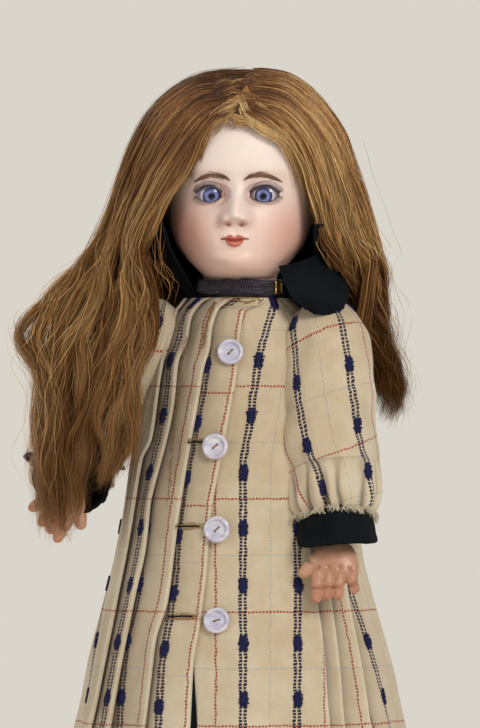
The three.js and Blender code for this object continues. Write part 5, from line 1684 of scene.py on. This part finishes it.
def make_cuff(side):
    """Deep velvet band, turned in at its lower edge, round the wrist below the sleeve."""
    frames = arm_frames(side)
    elbow, wrist = frames["elbow"][:3, 3], frames["hand"][:3, 3]
    along = unit(wrist - elbow)
    out = frames["elbow"][:3, 0]
    front = np.cross(along, out)
    hang = ARMS[side]["hang"]
    share, radius = profile_rows(CUFF_PROFILE, 90)
    angle = once_round(200)[None, :]
    radius = radius + 0.45 * waves(angle * 0.8, share * 1.2, 71) + 0.2 * waves(angle * 3, share * 4, 72)
    centre = elbow + (wrist - elbow) * share[..., None] - np.array([3.0 * hang, 0, 0])
    lean = (1.2 - 0.6 * hang) * waves(angle * 0.5, 0 * share, 73)
    level = (hang * (0.35 + 0.65 * ramp(share, 0.66, 0.9)))[..., None]
    facing = front * (1 - level) + np.array([0, -1.0, 0]) * level
    facing /= np.linalg.norm(facing, axis=-1, keepdims=True)
    grid = centre + radius[..., None] * (np.cos(angle)[..., None] * out + np.sin(angle)[..., None] * facing)
    grid = grid + along * (lean * ramp(share, 0.8, 0.96))[..., None]
    made = grid_object(f"{side}_velvet_cuff", grid, VELVET, wrap=True)
    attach(made, f"{side}_forearm")
    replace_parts(made, f"{side}_cuff")


def composition_material():
    """Painted composition: pinkish tan with wear, fine crazing and points painted by hand."""
    paint = Paint("composition_paint", "c79376", Roughness=0.42, Coat_Weight=0.15)
    mottle = paint.span(paint.noise(70, 5), 0.35, 0.7)
    skin = paint.mix(mottle, "c59677", "b07a5b")
    skin = paint.mix(1.0, skin, paint.tint(), "MULTIPLY")
    grime = paint.span(paint.noise(300, 4), 0.58, 0.75, 0.0, 0.35)
    paint.colour(paint.mix(grime, skin, "8a5a44"))
    paint.relief(paint.noise(420, 4), 0.12)
    paint.roughness(paint.span(mottle, 0, 1, 0.36, 0.52))
    return paint.material


COMPOSITION = composition_material()
HAND_SCALE = 1.1
# Half widths and half depths of the palm by distance below the wrist
PALM = [(0.5, 6.2, 3.9), (3, 8.0, 4.4), (6, 9.0, 4.6), (9.5, 9.7, 4.4), (12.5, 9.8, 3.7), (14.4, 9.2, 2.6),
        (15.4, 8.2, 1.4)]
FINGER_ROOTS = (-6.4, -2.2, 2.1, 6.3)
FINGER_LENGTHS = (9.0, 7.4, 6.9, 3.4)
FINGER_SPREADS = (1.0, 1.0, 1.1, 1.5)
HAND_ASIDE = {"left": -3.5, "right": 0.0}
ROD_ROWS, ROD_SIDES = 14, 16


def rod(start, end, root, tip):
    """A closed rounded rod between two points, with its radius at each end."""
    start, end = np.asarray(start, float), np.asarray(end, float)
    t = np.linspace(0, 1, ROD_ROWS)
    length = np.linalg.norm(end - start)
    line = start + (end - start) * t[:, None]
    into_tip = np.clip((t * length - length + tip) / tip, 0, 1)
    radius = (root + (tip - root) * t) * np.sqrt(np.clip(1 - into_tip ** 2, 0.02, 1))
    _, side, other = ring_frames(line, (1, 0.02, 0.01))
    angle = once_round(ROD_SIDES)[None, :, None]
    ring = np.cos(angle) * side[:, None] + np.sin(angle) * other[:, None]
    return grid_object("rod", line[:, None] + radius[:, None, None] * ring, wrap=True, caps=True)


def palm_piece():
    angle = once_round(40)[None, :]
    level = np.linspace(PALM[0][0], PALM[-1][0], 26)[:, None]
    wide, deep = section(PALM, level, 1), section(PALM, level, 2)
    grid = np.stack([wide * np.cos(angle), deep * np.sin(angle), -level + 0 * angle], axis=-1)
    return grid_object("palm", grid, wrap=True, caps=True)


def finger_places(sign):
    """Root, knuckle and tip of each finger."""
    places = []
    for x, length, spread in zip(FINGER_ROOTS, FINGER_LENGTHS, FINGER_SPREADS):
        knuckle = (sign * x * (spread + 1) / 2, -0.2, -16 - length * 0.5)
        places.append(np.array([(sign * x, -0.3, -12), knuckle, (sign * x * spread, 1.9, -16.6 - length)]))
    return places


def digits(sign):
    """Rods of the four fingers, the thumb and the wrist."""
    parts = []
    for root, knuckle, tip in finger_places(sign):
        parts += [rod(root, knuckle, 2.6, 2.4), rod(knuckle, tip, 2.4, 1.95)]
    parts.append(rod((-sign * 4.5, 0.4, -5.5), (-sign * 9.8, 0.4, -10.2), 4.4, 3.0))
    parts.append(rod((-sign * 9.5, 0.4, -9.8), (-sign * 13.4, 1.0, -14.8), 3.0, 2.2))
    parts.append(rod((0, 0, 3.4), (0, 0, -4), 3.2, 3.9))
    return parts


def hand_marks(points, sign):
    """Depth of the dimples, nails and creases at each point, and the tint over the paint."""
    tint = np.ones((len(points), 3))
    dip = np.zeros(len(points))
    for x in FINGER_ROOTS:
        reach = np.hypot(points[:, 0] - sign * x * 1.02, points[:, 2] + 11.6)
        face = points[:, 1] < -1.2
        dip += 0.55 * bump(reach, 0.75) * face
        tint = tint * (1 - np.outer(0.42 * bump(reach, 0.8) * face, (0.5, 0.9, 1.0)))
    for _, knuckle, tip in finger_places(sign):
        nail = np.hypot((points[:, 0] - tip[0]) / 1.15, (points[:, 2] - tip[2] - 1.6) / 1.5)
        edge = bump(nail - 1, 0.14) * (points[:, 1] < tip[1])
        dip += 0.14 * edge
        tint = tint * (1 - np.outer(0.3 * edge, (0.4, 0.9, 1.0)))
        crease = bump(points[:, 2] - knuckle[2], 0.3) * bump(points[:, 0] - knuckle[0], 1.4)
        dip += 0.06 * crease * (points[:, 1] < 0)
    redder = 0.3 * ramp(points[:, 2], -15, -27)
    return dip, tint * (1 - np.outer(redder, (0.1, 0.45, 0.5)))


def make_hand(side):
    """Short-fingered hand, sculpted as one smooth piece with dimpled knuckles and small nails."""
    sign = ARMS[side]["sign"]
    made = join(f"{side}_sculpted_hand", [palm_piece()] + digits(sign))
    apply(made, "REMESH", mode="VOXEL", voxel_size=0.3 * MM)
    apply(made, "SMOOTH", factor=0.6, iterations=9)
    points = mesh_points(made)
    dip, tint = hand_marks(points, sign)
    normals = np.empty(points.size, np.float32)
    made.data.vertices.foreach_get("normal", normals)
    points = points - normals.reshape(-1, 3) * dip[:, None]
    lean = Matrix.Rotation(ARMS[side]["lean"] * DEG, 4, "Y") @ Matrix.Scale(HAND_SCALE, 4)
    points = placed(points, arm_frames(side)["hand"] @ np.array(lean)) + [HAND_ASIDE[side], 0, 0]
    made.data.materials.clear()
    made.data.materials.append(COMPOSITION)
    move_points(made, points)
    paint_points(made, tint)
    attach(made, f"{side}_hand")
    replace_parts(made, f"{side}_hand")


FACING_TOP = 206


def make_facing():
    """Narrow dark velvet facing that shows below the lowest button under the flap's edge."""
    z = np.linspace(DRESS_LOW + 1, FACING_TOP, 120)[:, None]
    share = np.linspace(0, 1, 14)[None, :]
    edge = track(FLAP, z)
    wide = 1.0 + 3.2 * ramp(FACING_TOP - z, 0, 40)
    angle = dress_angle(edge - 2.5 + (wide + 2.5) * share, z, 1.0)
    grid = dress_point(angle, z + 0 * share, 0.9 + 0.2 * np.sin(share * math.pi) + 0 * z)
    made = grid_object("dress_dark_facing", grid, VELVET)
    skirt_blend(made)


def make_arms():
    for side in ARMS:
        make_sleeve(side)
        make_cuff(side)
        make_hand(side)


make_facing()
make_arms()


# Collar and neck trim: the collar's height, radius, and the angles where it opens on the left and right
COLLAR = [(357.3, 21.2, 98, 60), (366, 27.5, 90, 56), (377, 36, 64, 54), (389, 41.5, 50, 52),
          (394, 43, 50, 52)]
COLLAR_BACK = 2
COLLAR_LOW, COLLAR_HIGH, COLLAR_RISE = 357.3, 392.5, 35.2
RIBBON_LOW, RIBBON_HIGH, RIBBON_RADIUS = 358.6, 366.0, 19.4


def thickened(made):
    """Gives a velvet sheet its thickness and rounded edges."""
    apply(made, "SOLIDIFY", thickness=1.5 * MM, offset=0)
    apply(made, "BEVEL", width=0.5 * MM, segments=2, limit_method="ANGLE", angle_limit=60 * DEG)


def make_collar():
    """Standing velvet collar, open in front, that leans outwards and rolls at its edges."""
    z = np.linspace(COLLAR_LOW, COLLAR_HIGH, 90)[:, None]
    share = np.linspace(0, 1, 240)[None, :]
    start, end = section(COLLAR, z, 2), 360 - section(COLLAR, z, 3)
    angle = (start + (end - start) * share) * DEG
    rise = (z - COLLAR_LOW) / COLLAR_RISE
    flare = 0.9 * waves(angle * 1.1, rise * 0.8, 81) * ramp(rise, 0.1, 0.6)
    roll = 1.6 * ramp(rise, 0.8, 1) ** 2
    radius = section(COLLAR, z, 1) + flare + roll
    level = z - 2.2 * ramp(rise, 0.75, 1) * waves(angle * 0.7, 0 * z, 82) - 1.4 * ramp(rise, 0.86, 1) ** 3
    outer = np.stack([radius * np.sin(angle), COLLAR_BACK - radius * np.cos(angle), level], axis=-1)
    made = grid_object("velvet_stand_collar", outer, VELVET)
    thickened(made)
    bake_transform(made)
    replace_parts(made, "velvet_collar")


# Points of the lappet, each row across it and the rows from the collar down
LAPPET = [
    [(17, -19, 371.5), (24, -20.5, 373), (31, -17.5, 375.5), (38, -11, 378), (43, -3, 379)],
    [(19, -22.5, 365.5), (27, -23, 367), (35, -19, 369), (42, -12, 371.5), (46.5, -4, 372.5)],
    [(22, -25.5, 359.5), (29.5, -25.5, 360), (37.5, -21.5, 361.5), (44, -14, 363.5), (48, -6, 365.5)],
    [(25.5, -27, 355.5), (31, -27, 354), (38.3, -23.5, 354), (44.6, -17, 356.5), (47.6, -9.5, 360)],
    [(28.5, -26.6, 353), (32.8, -26.5, 350.8), (38.3, -24, 350.2), (43.6, -19, 352.8), (46.8, -12, 357)],
]


def make_lappet():
    """Loose velvet flap that falls forward from the collar over the left shoulder."""
    u, v = np.linspace(0, 1, 110), np.linspace(0, 1, 90)
    across = np.stack([path(row, u) for row in LAPPET])
    grid = np.stack([path(across[:, k], v) for k in range(len(u))], axis=1)
    step_u, step_v = np.gradient(grid, axis=1), np.gradient(grid, axis=0)
    out = np.cross(step_v, step_u)
    out /= np.linalg.norm(out, axis=2, keepdims=True)
    out *= np.sign(-out[..., 1:2] + 1e-9)
    ripple = 1.1 * waves(u[None, :] * 1.1, v[:, None] * 0.6, 85) * ramp(v[:, None], 0.05, 0.6)
    grid = grid + out * ripple[..., None]
    made = grid_object("velvet_lappet", grid, VELVET)
    thickened(made)
    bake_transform(made)
    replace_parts(made, "collar_lappet")


def silk_material():
    paint = Paint("plum_silk", "2b1730", Roughness=0.34, Sheen_Weight=0.3)
    fine = paint.span(paint.noise(500, 2, stretch=(0.1, 0.1, 1)), 0.3, 0.7)
    paint.colour(paint.mix(fine, "120a15", "281a2d"))
    paint.relief(fine, 0.12)
    return paint.material


def brass_material():
    paint = Paint("old_brass", "b08d45", Metallic=1.0, Roughness=0.3)
    spots = paint.span(paint.noise(900, 4), 0.45, 0.7)
    paint.colour(paint.mix(spots, "d0ad5c", "6e5423"))
    paint.roughness(paint.span(spots, 0, 1, 0.24, 0.55))
    paint.relief(paint.noise(1200, 2), 0.05)
    return paint.material


def make_ribbon():
    """Slant-ribbed silk band round the neck, with rolled edges."""
    level = np.linspace(-1, 1, 46)[:, None]
    angle = once_round(900)[None, :]
    middle, half = (RIBBON_LOW + RIBBON_HIGH) / 2, (RIBBON_HIGH - RIBBON_LOW) / 2
    rib = 0.3 * np.cos(120 * angle + 5.2 * level)
    belly = 0.9 * (1 - level ** 4)
    wrinkle = 0.45 * waves(angle * 1.4, level * 0.5, 91)
    radius = RIBBON_RADIUS - 0.6 + belly + rib * (1 - level ** 6) + wrinkle * (1 - level ** 2)
    z = middle + half * level + 0.5 * waves(angle * 0.6, 0 * level, 92)
    outer = np.stack([radius * np.sin(angle), -radius * np.cos(angle), z], axis=-1)
    back, inner_z = RIBBON_RADIUS - 1.6 + 0 * level, middle + half * 0.9 * level[::-1] + 0 * angle
    inner = np.stack([back * np.sin(angle), -back * np.cos(angle), inner_z], axis=-1)
    ring = np.concatenate([outer, inner, outer[:1]])
    made = grid_object("silk_neck_band", ring, silk_material(), wrap=True)
    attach(made, "torso")
    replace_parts(made, "neck_ribbon")


def at_neck(points, angle, z, reach):
    """Points of a small piece with x across, y outwards and z up, set on the band at an angle."""
    points = np.asarray(points, float)
    x, out, up = points[..., 0], points[..., 1] + reach, points[..., 2]
    across = x * math.cos(angle) + out * math.sin(angle)
    behind = x * math.sin(angle) - out * math.cos(angle)
    return np.stack([across, behind, z + up], axis=-1)


SLIDE_ANGLE, SLIDE_Z = 54 * DEG, 362.6
KNOT_ANGLE, KNOT_Z = 74 * DEG, 362.8
# Lean and length of each loop of the knot
KNOT_LOOPS = [(0.5, 4.4), (-0.7, 4.2), (2.6, 3.9)]


def make_slide():
    """Small stamped brass slide with a raised rim and ribs across it."""
    u = np.linspace(-1, 1, 60)[None, :]
    v = np.linspace(-1, 1, 70)[:, None]
    edge = np.maximum(np.abs(u), np.abs(v))
    ribs = 0.22 * np.cos(v * 20) * (1 - ramp(edge, 0.6, 0.75))
    height = 0.75 + 0.35 * ramp(edge, 0.7, 0.82) - 0.9 * ramp(edge, 0.9, 1.0) + ribs
    face = np.stack([2.3 * u + 0 * v, height, 2.8 * v + 0 * u], axis=-1)
    face = at_neck(face, SLIDE_ANGLE, SLIDE_Z, RIBBON_RADIUS + 0.9)
    made = grid_object("stamped_slide", face, brass_material())
    apply(made, "SOLIDIFY", thickness=0.7 * MM, offset=-1)
    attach(made, "torso")
    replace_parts(made, "ribbon_slide")


def make_knot():
    """Small velvet knot: three folded loops gathered under a band."""
    t = np.linspace(0, 1, 60)[:, None]
    ring = once_round(40)[None, :]
    objects = []

    def add(name, part, reach):
        grid = at_neck(part, KNOT_ANGLE, KNOT_Z, RIBBON_RADIUS + reach)
        objects.append(grid_object(name, grid, VELVET, wrap=True, caps=True))

    for k, (lean, long) in enumerate(KNOT_LOOPS):
        along = long * t
        wide = 0.7 + 1.9 * np.sin(t * math.pi * 0.85)
        thick = 0.5 + 0.9 * np.sin(t * math.pi * 0.9)
        fold = 0.18 * np.cos(6 * ring) * np.sin(t * math.pi)
        a = along * math.cos(lean) - (wide + fold) * np.cos(ring) * math.sin(lean)
        b = along * math.sin(lean) + (wide + fold) * np.cos(ring) * math.cos(lean)
        add("loop", np.stack([a, (thick + fold) * np.sin(ring) + 0.5 * k, b], axis=-1), 2.4)
    over = t * math.pi - math.pi / 2
    out = 1.9 * np.sin(over) + 0.5 * np.sin(ring) + 1.0
    add("band", np.stack([0.9 * np.cos(ring) + 0 * t, out, 1.7 * np.cos(over) + 0 * ring], axis=-1), 2.0)
    made = join("velvet_knot", objects)
    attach(made, "torso")
    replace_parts(made, "ribbon_knot")


def pearl_material():
    """Mother of pearl: pale lilac and cream bands with a glossy turned face."""
    paint = Paint("pearl_shell", "e4dfe6", Roughness=0.22, Coat_Weight=0.5)
    bands = paint.span(paint.noise(260, 4, stretch=(0.5, 1, 1.6)), 0.35, 0.65)
    tone = paint.mix(bands, "bcb3c6", "e2dcdc")
    tone = paint.mix(paint.span(paint.noise(130, 3), 0.45, 0.7, 0.0, 0.5), tone, "a5afc6")
    paint.colour(tone)
    paint.roughness(paint.span(bands, 0, 1, 0.16, 0.3))
    paint.relief(bands, 0.05)
    return paint.material


BUTTONS = {"button_1": (-4, 334, 2.2), "button_2": (-10.1, 293, 2.2), "button_3": (-9.5, 257, 2.2),
           "button_4": (-9.9, 217.5, 0)}
# Turned profile of a button from its middle to its rim and round to its back: radius and height
BUTTON_PROFILE = [(0, 1.35), (1.0, 1.3), (2.2, 1.15), (3.1, 1.1), (3.7, 1.25), (4.1, 1.95), (4.6, 2.25),
                  (5.1, 2.2), (5.6, 1.8), (5.75, 1.3), (5.5, 0.8), (4.6, 0.35), (2.5, 0.1), (0, 0.0)]


def button_frame(x, z, lift):
    """Centre of a button's back and its across, up and outward directions on the dress."""
    middle = math.asin(x / float(section(DRESS, z, 1)))

    def surface(aside, above, out=0.0):
        return dress_point(np.array(middle + aside), np.array(float(z) + above), lift + out)

    across = unit(surface(0.05, 0) - surface(-0.05, 0))
    out = unit(np.cross(across, surface(0, 6.0) - surface(0, -6.0)))
    return surface(0, 0, 0.5), across, np.cross(out, across), out


BUTTON_HOLE_OUT, BUTTON_HOLE_RADIUS = 1.15, 0.5


def make_buttons():
    pearl = pearl_material()
    thread = yarn_material("button_thread", "b08b50", "7a5a2e")
    radius, height = profile_rows(BUTTON_PROFILE, 70)
    turn = once_round(120)[None, :]
    for name, (x, z, lift) in BUTTONS.items():
        centre, across, up, out = button_frame(x, z, lift)
        spin = rng.uniform(0.15, 0.9)

        def on_button(a, b, c):
            return centre + a[..., None] * across + b[..., None] * up + c[..., None] * out

        grid = on_button(radius * np.cos(turn), radius * np.sin(turn), height + 0 * turn)
        disc = grid_object(f"{name}_pearl", grid, pearl, wrap=True)
        for hole in (-1, 1):
            a, b = (BUTTON_HOLE_OUT * hole * part for part in (math.cos(spin), math.sin(spin)))
            line = [centre + across * a + up * b + out * k for k in (-2, 0, 2, 5)]
            drill = tubes("drill", [line], [BUTTON_HOLE_RADIUS], sides=20)
            apply(disc, "BOOLEAN", operation="DIFFERENCE", object=drill, solver="EXACT")
            bpy.data.objects.remove(drill)
        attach(disc, "torso")
        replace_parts(disc, name)
        lines = []
        for shift in (-0.16, 0.16):
            s = np.linspace(-1, 1, 14)
            a = BUTTON_HOLE_OUT * s * math.cos(spin) - shift * math.sin(spin)
            b = BUTTON_HOLE_OUT * s * math.sin(spin) + shift * math.cos(spin)
            lines.append(on_button(a, b, 1.75 - 2.2 * np.abs(s) ** 6))
        stitch = tubes(f"{name}_thread", lines, [0.17] * 2, thread, sides=8)
        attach(stitch, "torso")


make_collar()
make_lappet()
make_ribbon()
make_slide()
make_knot()
make_buttons()


# Legs: SHANK is height and radius. FOOT is distance ahead of the ankle, half width, middle and half height.
# SOLE is distance ahead of the ankle and half width.
SHANK = [(14, 6.8), (26, 6.4), (43, 7.6), (68, 10.2), (88, 10.8), (104, 9.4), (111.6, 6.8)]
FOOT = [(-10, 4.5, 12, 5), (-7, 7, 12.5, 8), (4, 7.6, 12, 7.8), (14, 8, 10, 5.6), (24, 7.4, 8.4, 4),
        (28, 4.4, 8, 2.8)]
STOCKING_LIFT = 1.3
STOCKING_TOP = 97.5
HIP_ACROSS = 19.5
SOLE = [(-15, 3.4), (-13, 7.0), (-8, 9.2), (0, 10.0), (10, 10.7), (19, 10.9), (25, 9.6), (29, 6.8), (31, 3.2)]
SOLE_MIDDLE = 8
# Rings of the sole's edge from its underside up: how far out, and height
SOLE_EDGE = [(-1.2, 0.0), (-0.2, 0.05), (0.35, 0.4), (0.45, 1.4), (0.4, 2.3), (0.1, 2.7), (-1.2, 2.8)]
SOLE_POINTS = 160
WELT_STITCHES = 96
STRAP_Z = 18.6
ANKLE_RADIUS = 9.3


def knit_material():
    """Fine ribbed cotton knit, ivory, a little soiled at the foot, with painted shade in the valleys between
    the ribs.
    """
    paint = Paint("cotton_knit", "d9cfba", Roughness=0.92, Sheen_Weight=0.3)
    parts = paint.weave()
    ribs = paint.math("SINE", paint.math("MULTIPLY", parts[0], 2 * math.pi / 1.1))
    rows = paint.math("SINE", paint.math("MULTIPLY", parts[1], 2 * math.pi / 0.6))
    knit = paint.math("ADD", ribs, paint.math("MULTIPLY", rows, 0.4))
    soil = paint.span(paint.noise(50, 4), 0.4, 0.75)
    tone = paint.mix(soil, "ddd4c0", "bfae8c")
    # Painted shade in the valleys between the ribs and rows
    paint.colour(paint.mix(paint.span(knit, -1.4, 0.2, 0.45, 0.0), tone, "96876a"))
    paint.relief(knit, 0.22)
    return paint.material


def leather_material(name, colour, worn):
    paint = Paint(name, colour, Roughness=0.42, Coat_Weight=0.12)
    grain = paint.noise(700, 4)
    scuffs = paint.span(paint.noise(120, 5), 0.52, 0.72)
    paint.colour(paint.mix(scuffs, colour, worn))
    paint.roughness(paint.span(scuffs, 0, 1, 0.36, 0.6))
    paint.relief(grain, 0.14)
    return paint.material


def remeshed(made, size, rounds, material):
    """Closes pieces into one even skin and softens it."""
    apply(made, "REMESH", mode="VOXEL", voxel_size=size * MM)
    apply(made, "SMOOTH", factor=0.6, iterations=rounds)
    made.data.polygons.foreach_set("use_smooth", np.ones(len(made.data.polygons), bool))
    made.data.materials.clear()
    made.data.materials.append(material)
    return made


def loft_foot(rings, lift, shift):
    ahead = np.linspace(rings[0][0], rings[-1][0], 60)[:, None]
    turn = once_round(60)[None, :]
    wide, middle, high = (section(rings, ahead, k) for k in (1, 2, 3))
    close = np.sqrt(np.clip(1 - np.clip((ahead - 23) / 6.5, 0, 1) ** 2, 0.05, 1))
    x = (wide + lift) * np.cos(turn) * close + shift
    z = middle + (high + lift) * np.sin(turn) * close
    return grid_object("foot", np.stack([x, -ahead * 1.04 + 0 * turn, z], axis=-1), wrap=True, caps=True)


def make_stocking(side, sign, material):
    """Ribbed stocking over the shank and foot, with a rolled top and loose folds at the ankle."""
    shift = sign * HIP_ACROSS
    z = np.linspace(14, STOCKING_TOP, 90)[:, None]
    turn = once_round(80)[None, :]
    calf = 1.2 * bump(z - 84, 14) * ramp(np.sin(turn), -0.2, 1)
    wrinkle = 0.5 * bump(z - 32, 9) * np.sin(z * 0.9 + 2 * np.sin(turn)) + 0.35 * waves(turn, z / 30, 101)
    roll = 0.9 * bump(z - STOCKING_TOP + 2, 1.2) + 0.5 * bump(z - STOCKING_TOP + 9, 0.7)
    radius = section(SHANK, z, 1) + STOCKING_LIFT + calf + wrinkle + roll
    shank = np.stack([shift + radius * np.cos(turn), radius * np.sin(turn), z + 0 * turn], axis=-1)
    shank = grid_object("shank", shank, wrap=True, caps=True)
    made = join(f"{side}_knit_stocking", [shank, loft_foot(FOOT, STOCKING_LIFT, shift)])
    remeshed(made, 0.5, 5, material)
    points = mesh_points(made)
    angle = np.arctan2(points[:, 1], points[:, 0] - shift)
    on_foot = points[:, 2] < 20
    around = np.where(on_foot, points[:, 0] - shift, angle * 9)
    weave_points(made, np.stack([around, np.where(on_foot, points[:, 1], points[:, 2]), 0 * angle], axis=-1))
    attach(made, f"{side}_lower_leg")
    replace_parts(made, f"{side}_stocking")


def sole_outline(count, grow=0.0):
    """Outline of the sole, anticlockwise from the toe, as (across, ahead)."""
    rows = np.array(SOLE)
    ahead = rows[0, 0] + (rows[-1, 0] - rows[0, 0]) * 0.5 * (1 - np.cos(np.linspace(0, math.pi, count // 2)))
    wide = smooth(ahead, rows[:, 0], rows[:, 1])
    from_middle = ahead - SOLE_MIDDLE
    ends = np.sqrt(np.clip(1 - np.abs(from_middle / 23.4) ** 9, 0, 1))
    wide = wide * ends + grow
    ahead = ahead + grow * np.sign(from_middle) * np.abs(from_middle / 23) ** 2
    return np.concatenate([np.stack([wide, ahead], -1)[::-1], np.stack([-wide, ahead], -1)])


def shoe_upper(shift, leather):
    """Soft upper that closes from the sole's outline up to the ankle."""
    outline = sole_outline(SOLE_POINTS)
    turn = np.arctan2(outline[:, 0], outline[:, 1] - 2)
    throat = np.stack([ANKLE_RADIUS * np.sin(turn), ANKLE_RADIUS * np.cos(turn)], axis=-1)
    s = np.linspace(0, 1, 60)[:, None]
    share = ((1 - np.cos(s * math.pi / 2)) ** 0.9)[..., None]
    toe = ramp(outline[:, 1], 6, 26)[None, :]
    flat = outline[None] * (1 - share) + throat[None] * share
    height = 2.4 + (21.4 - 2.4 * toe) * np.sin(s * math.pi / 2) ** (1 + 0.55 * toe)
    belly = 0.7 * np.sin(s * math.pi) * waves(turn[None, :] * 0.8, s * 1.5, 111)
    flat = flat * (1 + (belly / 12)[..., None])
    lip = 1 + 0.5 * bump(s - 1, 0.03) / 10
    grid = np.stack([flat[..., 0] * lip + shift, -flat[..., 1] * lip, height], axis=-1)
    made = grid_object("upper", grid, leather, wrap=True)
    return apply(made, "SOLIDIFY", thickness=0.9 * MM, offset=-1)


def shoe_sole(shift, leather):
    rings = []
    for grow, z in SOLE_EDGE:
        edge = sole_outline(SOLE_POINTS, grow)
        lift = 0.5 * ramp(edge[:, 1], 22, 31)
        rings.append(np.stack([edge[:, 0] + shift, -edge[:, 1], z + lift], axis=-1))
    return grid_object("sole", np.stack(rings), leather, wrap=True, caps=True)


def shoe_strap(shift, leather):
    turn = np.linspace(-2.1, 2.1, 120)[:, None]
    band = np.linspace(-1, 1, 14)[None, :]
    reach = 10.2 + 0.25 * (1 - band ** 2) + 0.5 * ramp(np.cos(turn), 0.3, 1)
    height = STRAP_Z + 2.0 * band + 1.2 * np.cos(turn)
    grid = np.stack([shift + reach * np.sin(turn), -reach * np.cos(turn) * 1.02, height], axis=-1)
    return apply(grid_object("strap", grid, leather), "SOLIDIFY", thickness=0.7 * MM, offset=0)


def shoe_welt(shift):
    """Stitches that join the upper to the sole all round."""
    edge = sole_outline(WELT_STITCHES, 0.15)
    stitches = []
    for a, b in zip(edge, np.roll(edge, -1, axis=0)):
        line = [a + (b - a) * share for share in (0.1, 0.35, 0.6, 0.8)]
        stitches.append([(x + shift, -y, 2.95 - 0.1 * abs(k - 1.5)) for k, (x, y) in enumerate(line)])
    return tubes("welt", stitches, [0.16] * len(stitches), CREAM_YARN, sides=5)


def shoe_button(shift, sign, pearl):
    """Small domed button on the outer side of the strap."""
    t, ring = np.linspace(0, 1, 30)[:, None] * math.pi / 2, once_round(40)[None, :]
    dome = [1.5 * np.sin(t) * np.cos(ring), 1.5 * np.sin(t) * np.sin(ring), 0.9 * np.cos(t) + 0 * ring]
    out = sign * 1.25
    across = np.array([math.cos(out), math.sin(out), 0])
    forward = np.array([math.sin(out), -math.cos(out), 0])
    a, b, c = (each[..., None] for each in dome)
    seat = np.array([shift, 0, 19.0]) + forward * 10.7
    grid = seat + a * across + b * np.array([0, 0, 1.0]) + c * forward
    return grid_object("shoe_button", grid, pearl, wrap=True)


def make_shoe(side, sign, leather, sole_leather, pearl):
    """Small ankle boot: soft upper, flat sole, strap with a button and stitched welt."""
    shift = sign * HIP_ACROSS
    upper, bottom = shoe_upper(shift, leather), shoe_sole(shift, sole_leather)
    pieces = [upper, bottom, shoe_strap(shift, leather), shoe_welt(shift), shoe_button(shift, sign, pearl)]
    made = join(f"{side}_ankle_boot", pieces)
    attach(made, f"{side}_lower_leg")
    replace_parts(made, f"{side}_shoe")


def make_legs():
    knit = knit_material()
    leather = leather_material("brown_leather", "3c2418", "6a4630")
    sole_leather = leather_material("sole_leather", "8a6440", "5c3f27")
    pearl = bpy.data.materials["pearl_shell"]
    for side, sign in (("left", 1), ("right", -1)):
        make_stocking(side, sign, knit)
        make_shoe(side, sign, leather, sole_leather, pearl)


# Inner pieces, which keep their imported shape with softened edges
def inner_material(name, light, dark, scale, rough, depth, stretch=None, metallic=0.0):
    paint = Paint(name, light, Roughness=rough, Metallic=metallic)
    grain = paint.span(paint.noise(scale, 5, stretch=stretch), 0.35, 0.7)
    paint.colour(paint.mix(grain, light, dark))
    paint.roughness(paint.span(grain, 0, 1, rough * 0.85, min(1.0, rough * 1.2)))
    paint.relief(grain, depth)
    return paint.material


def bend_elastic(made, name):
    """Sets an arm's elastic or a leg's cord free of any body, with its points where the imported piece
    stands.
    """
    made.parent = None
    made.matrix_world = nodes[name].matrix_world
    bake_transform(made)


def rounded(name, body, material, size):
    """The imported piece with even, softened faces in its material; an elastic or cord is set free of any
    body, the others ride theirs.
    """
    made = nodes[name].copy()
    made.data = nodes[name].data.copy()
    made.name = f"{name}_finish"
    link(made)
    made.hide_render = made.hide_viewport = False
    remeshed(made, size, 4, material)
    paint_points(made, np.ones((len(made.data.vertices), 3)))
    if name.endswith(("_arm_elastic", "_leg_cord")):
        bend_elastic(made, name)
    else:
        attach(made, body)
    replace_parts(made, name)


def make_inner_pieces():
    wood = inner_material("beech", "b98c5a", "8f6537", 60, 0.5, 0.1, stretch=(1, 1, 0.15))
    elastic = inner_material("elastic_braid", "d8d0c0", "a79d88", 900, 0.8, 0.2)
    plaster = inner_material("eye_plaster", "e6e0d4", "cfc6b4", 120, 0.9, 0.15)
    cork = inner_material("cork", "b88a58", "6f4a28", 260, 0.85, 0.3)
    iron = inner_material("iron_wire", "4c4a48", "6a4a38", 300, 0.45, 0.05, metallic=0.9)
    gauze = inner_material("cap_gauze", "b39a72", "8b744f", 800, 0.95, 0.2)
    coarse = 1.0
    looks = {"composition": COMPOSITION, "elastic": elastic, "plaster": plaster, "cork": cork,
             "turned_wood": wood}
    pieces = [
        ("torso", "torso", "composition", 1.1), ("chest_elastic", "torso", "elastic", 0.45),
        ("leg_elastic", "torso", "elastic", 0.45), ("eye_plaster", "head", "plaster", 0.6),
        ("cork_pate", "head", "cork", 0.7), ("neck_button", "neck", "turned_wood", 0.45),
    ]
    limbs = [
        ("shoulder_ball", "shoulder", "turned_wood", 0.5), ("elbow_ball", "elbow", "turned_wood", 0.45),
        ("hip_ball", "hip", "turned_wood", 0.6), ("knee_ball", "knee", "turned_wood", 0.5),
        ("upper_arm", "arm", "composition", 0.55), ("forearm", "forearm", "composition", 0.55),
        ("thigh", "thigh", "composition", 0.8), ("lower_leg", "lower_leg", "composition", 0.7),
        ("arm_elastic", "arm", "elastic", 0.4), ("leg_cord", "thigh", "elastic", 0.45),
    ]
    for side in ("left", "right"):
        pieces += [(f"{side}_{name}", f"{side}_{body}", slot, size) for name, body, slot, size in limbs]
    for name, body, slot, size in pieces:
        rounded(name, body, looks[slot], size * coarse)
    for name, material in (("wig_cap", gauze), ("neck_hook", iron)):
        nodes[name].data.materials.clear()
        nodes[name].data.materials.append(material)


make_legs()
make_inner_pieces()
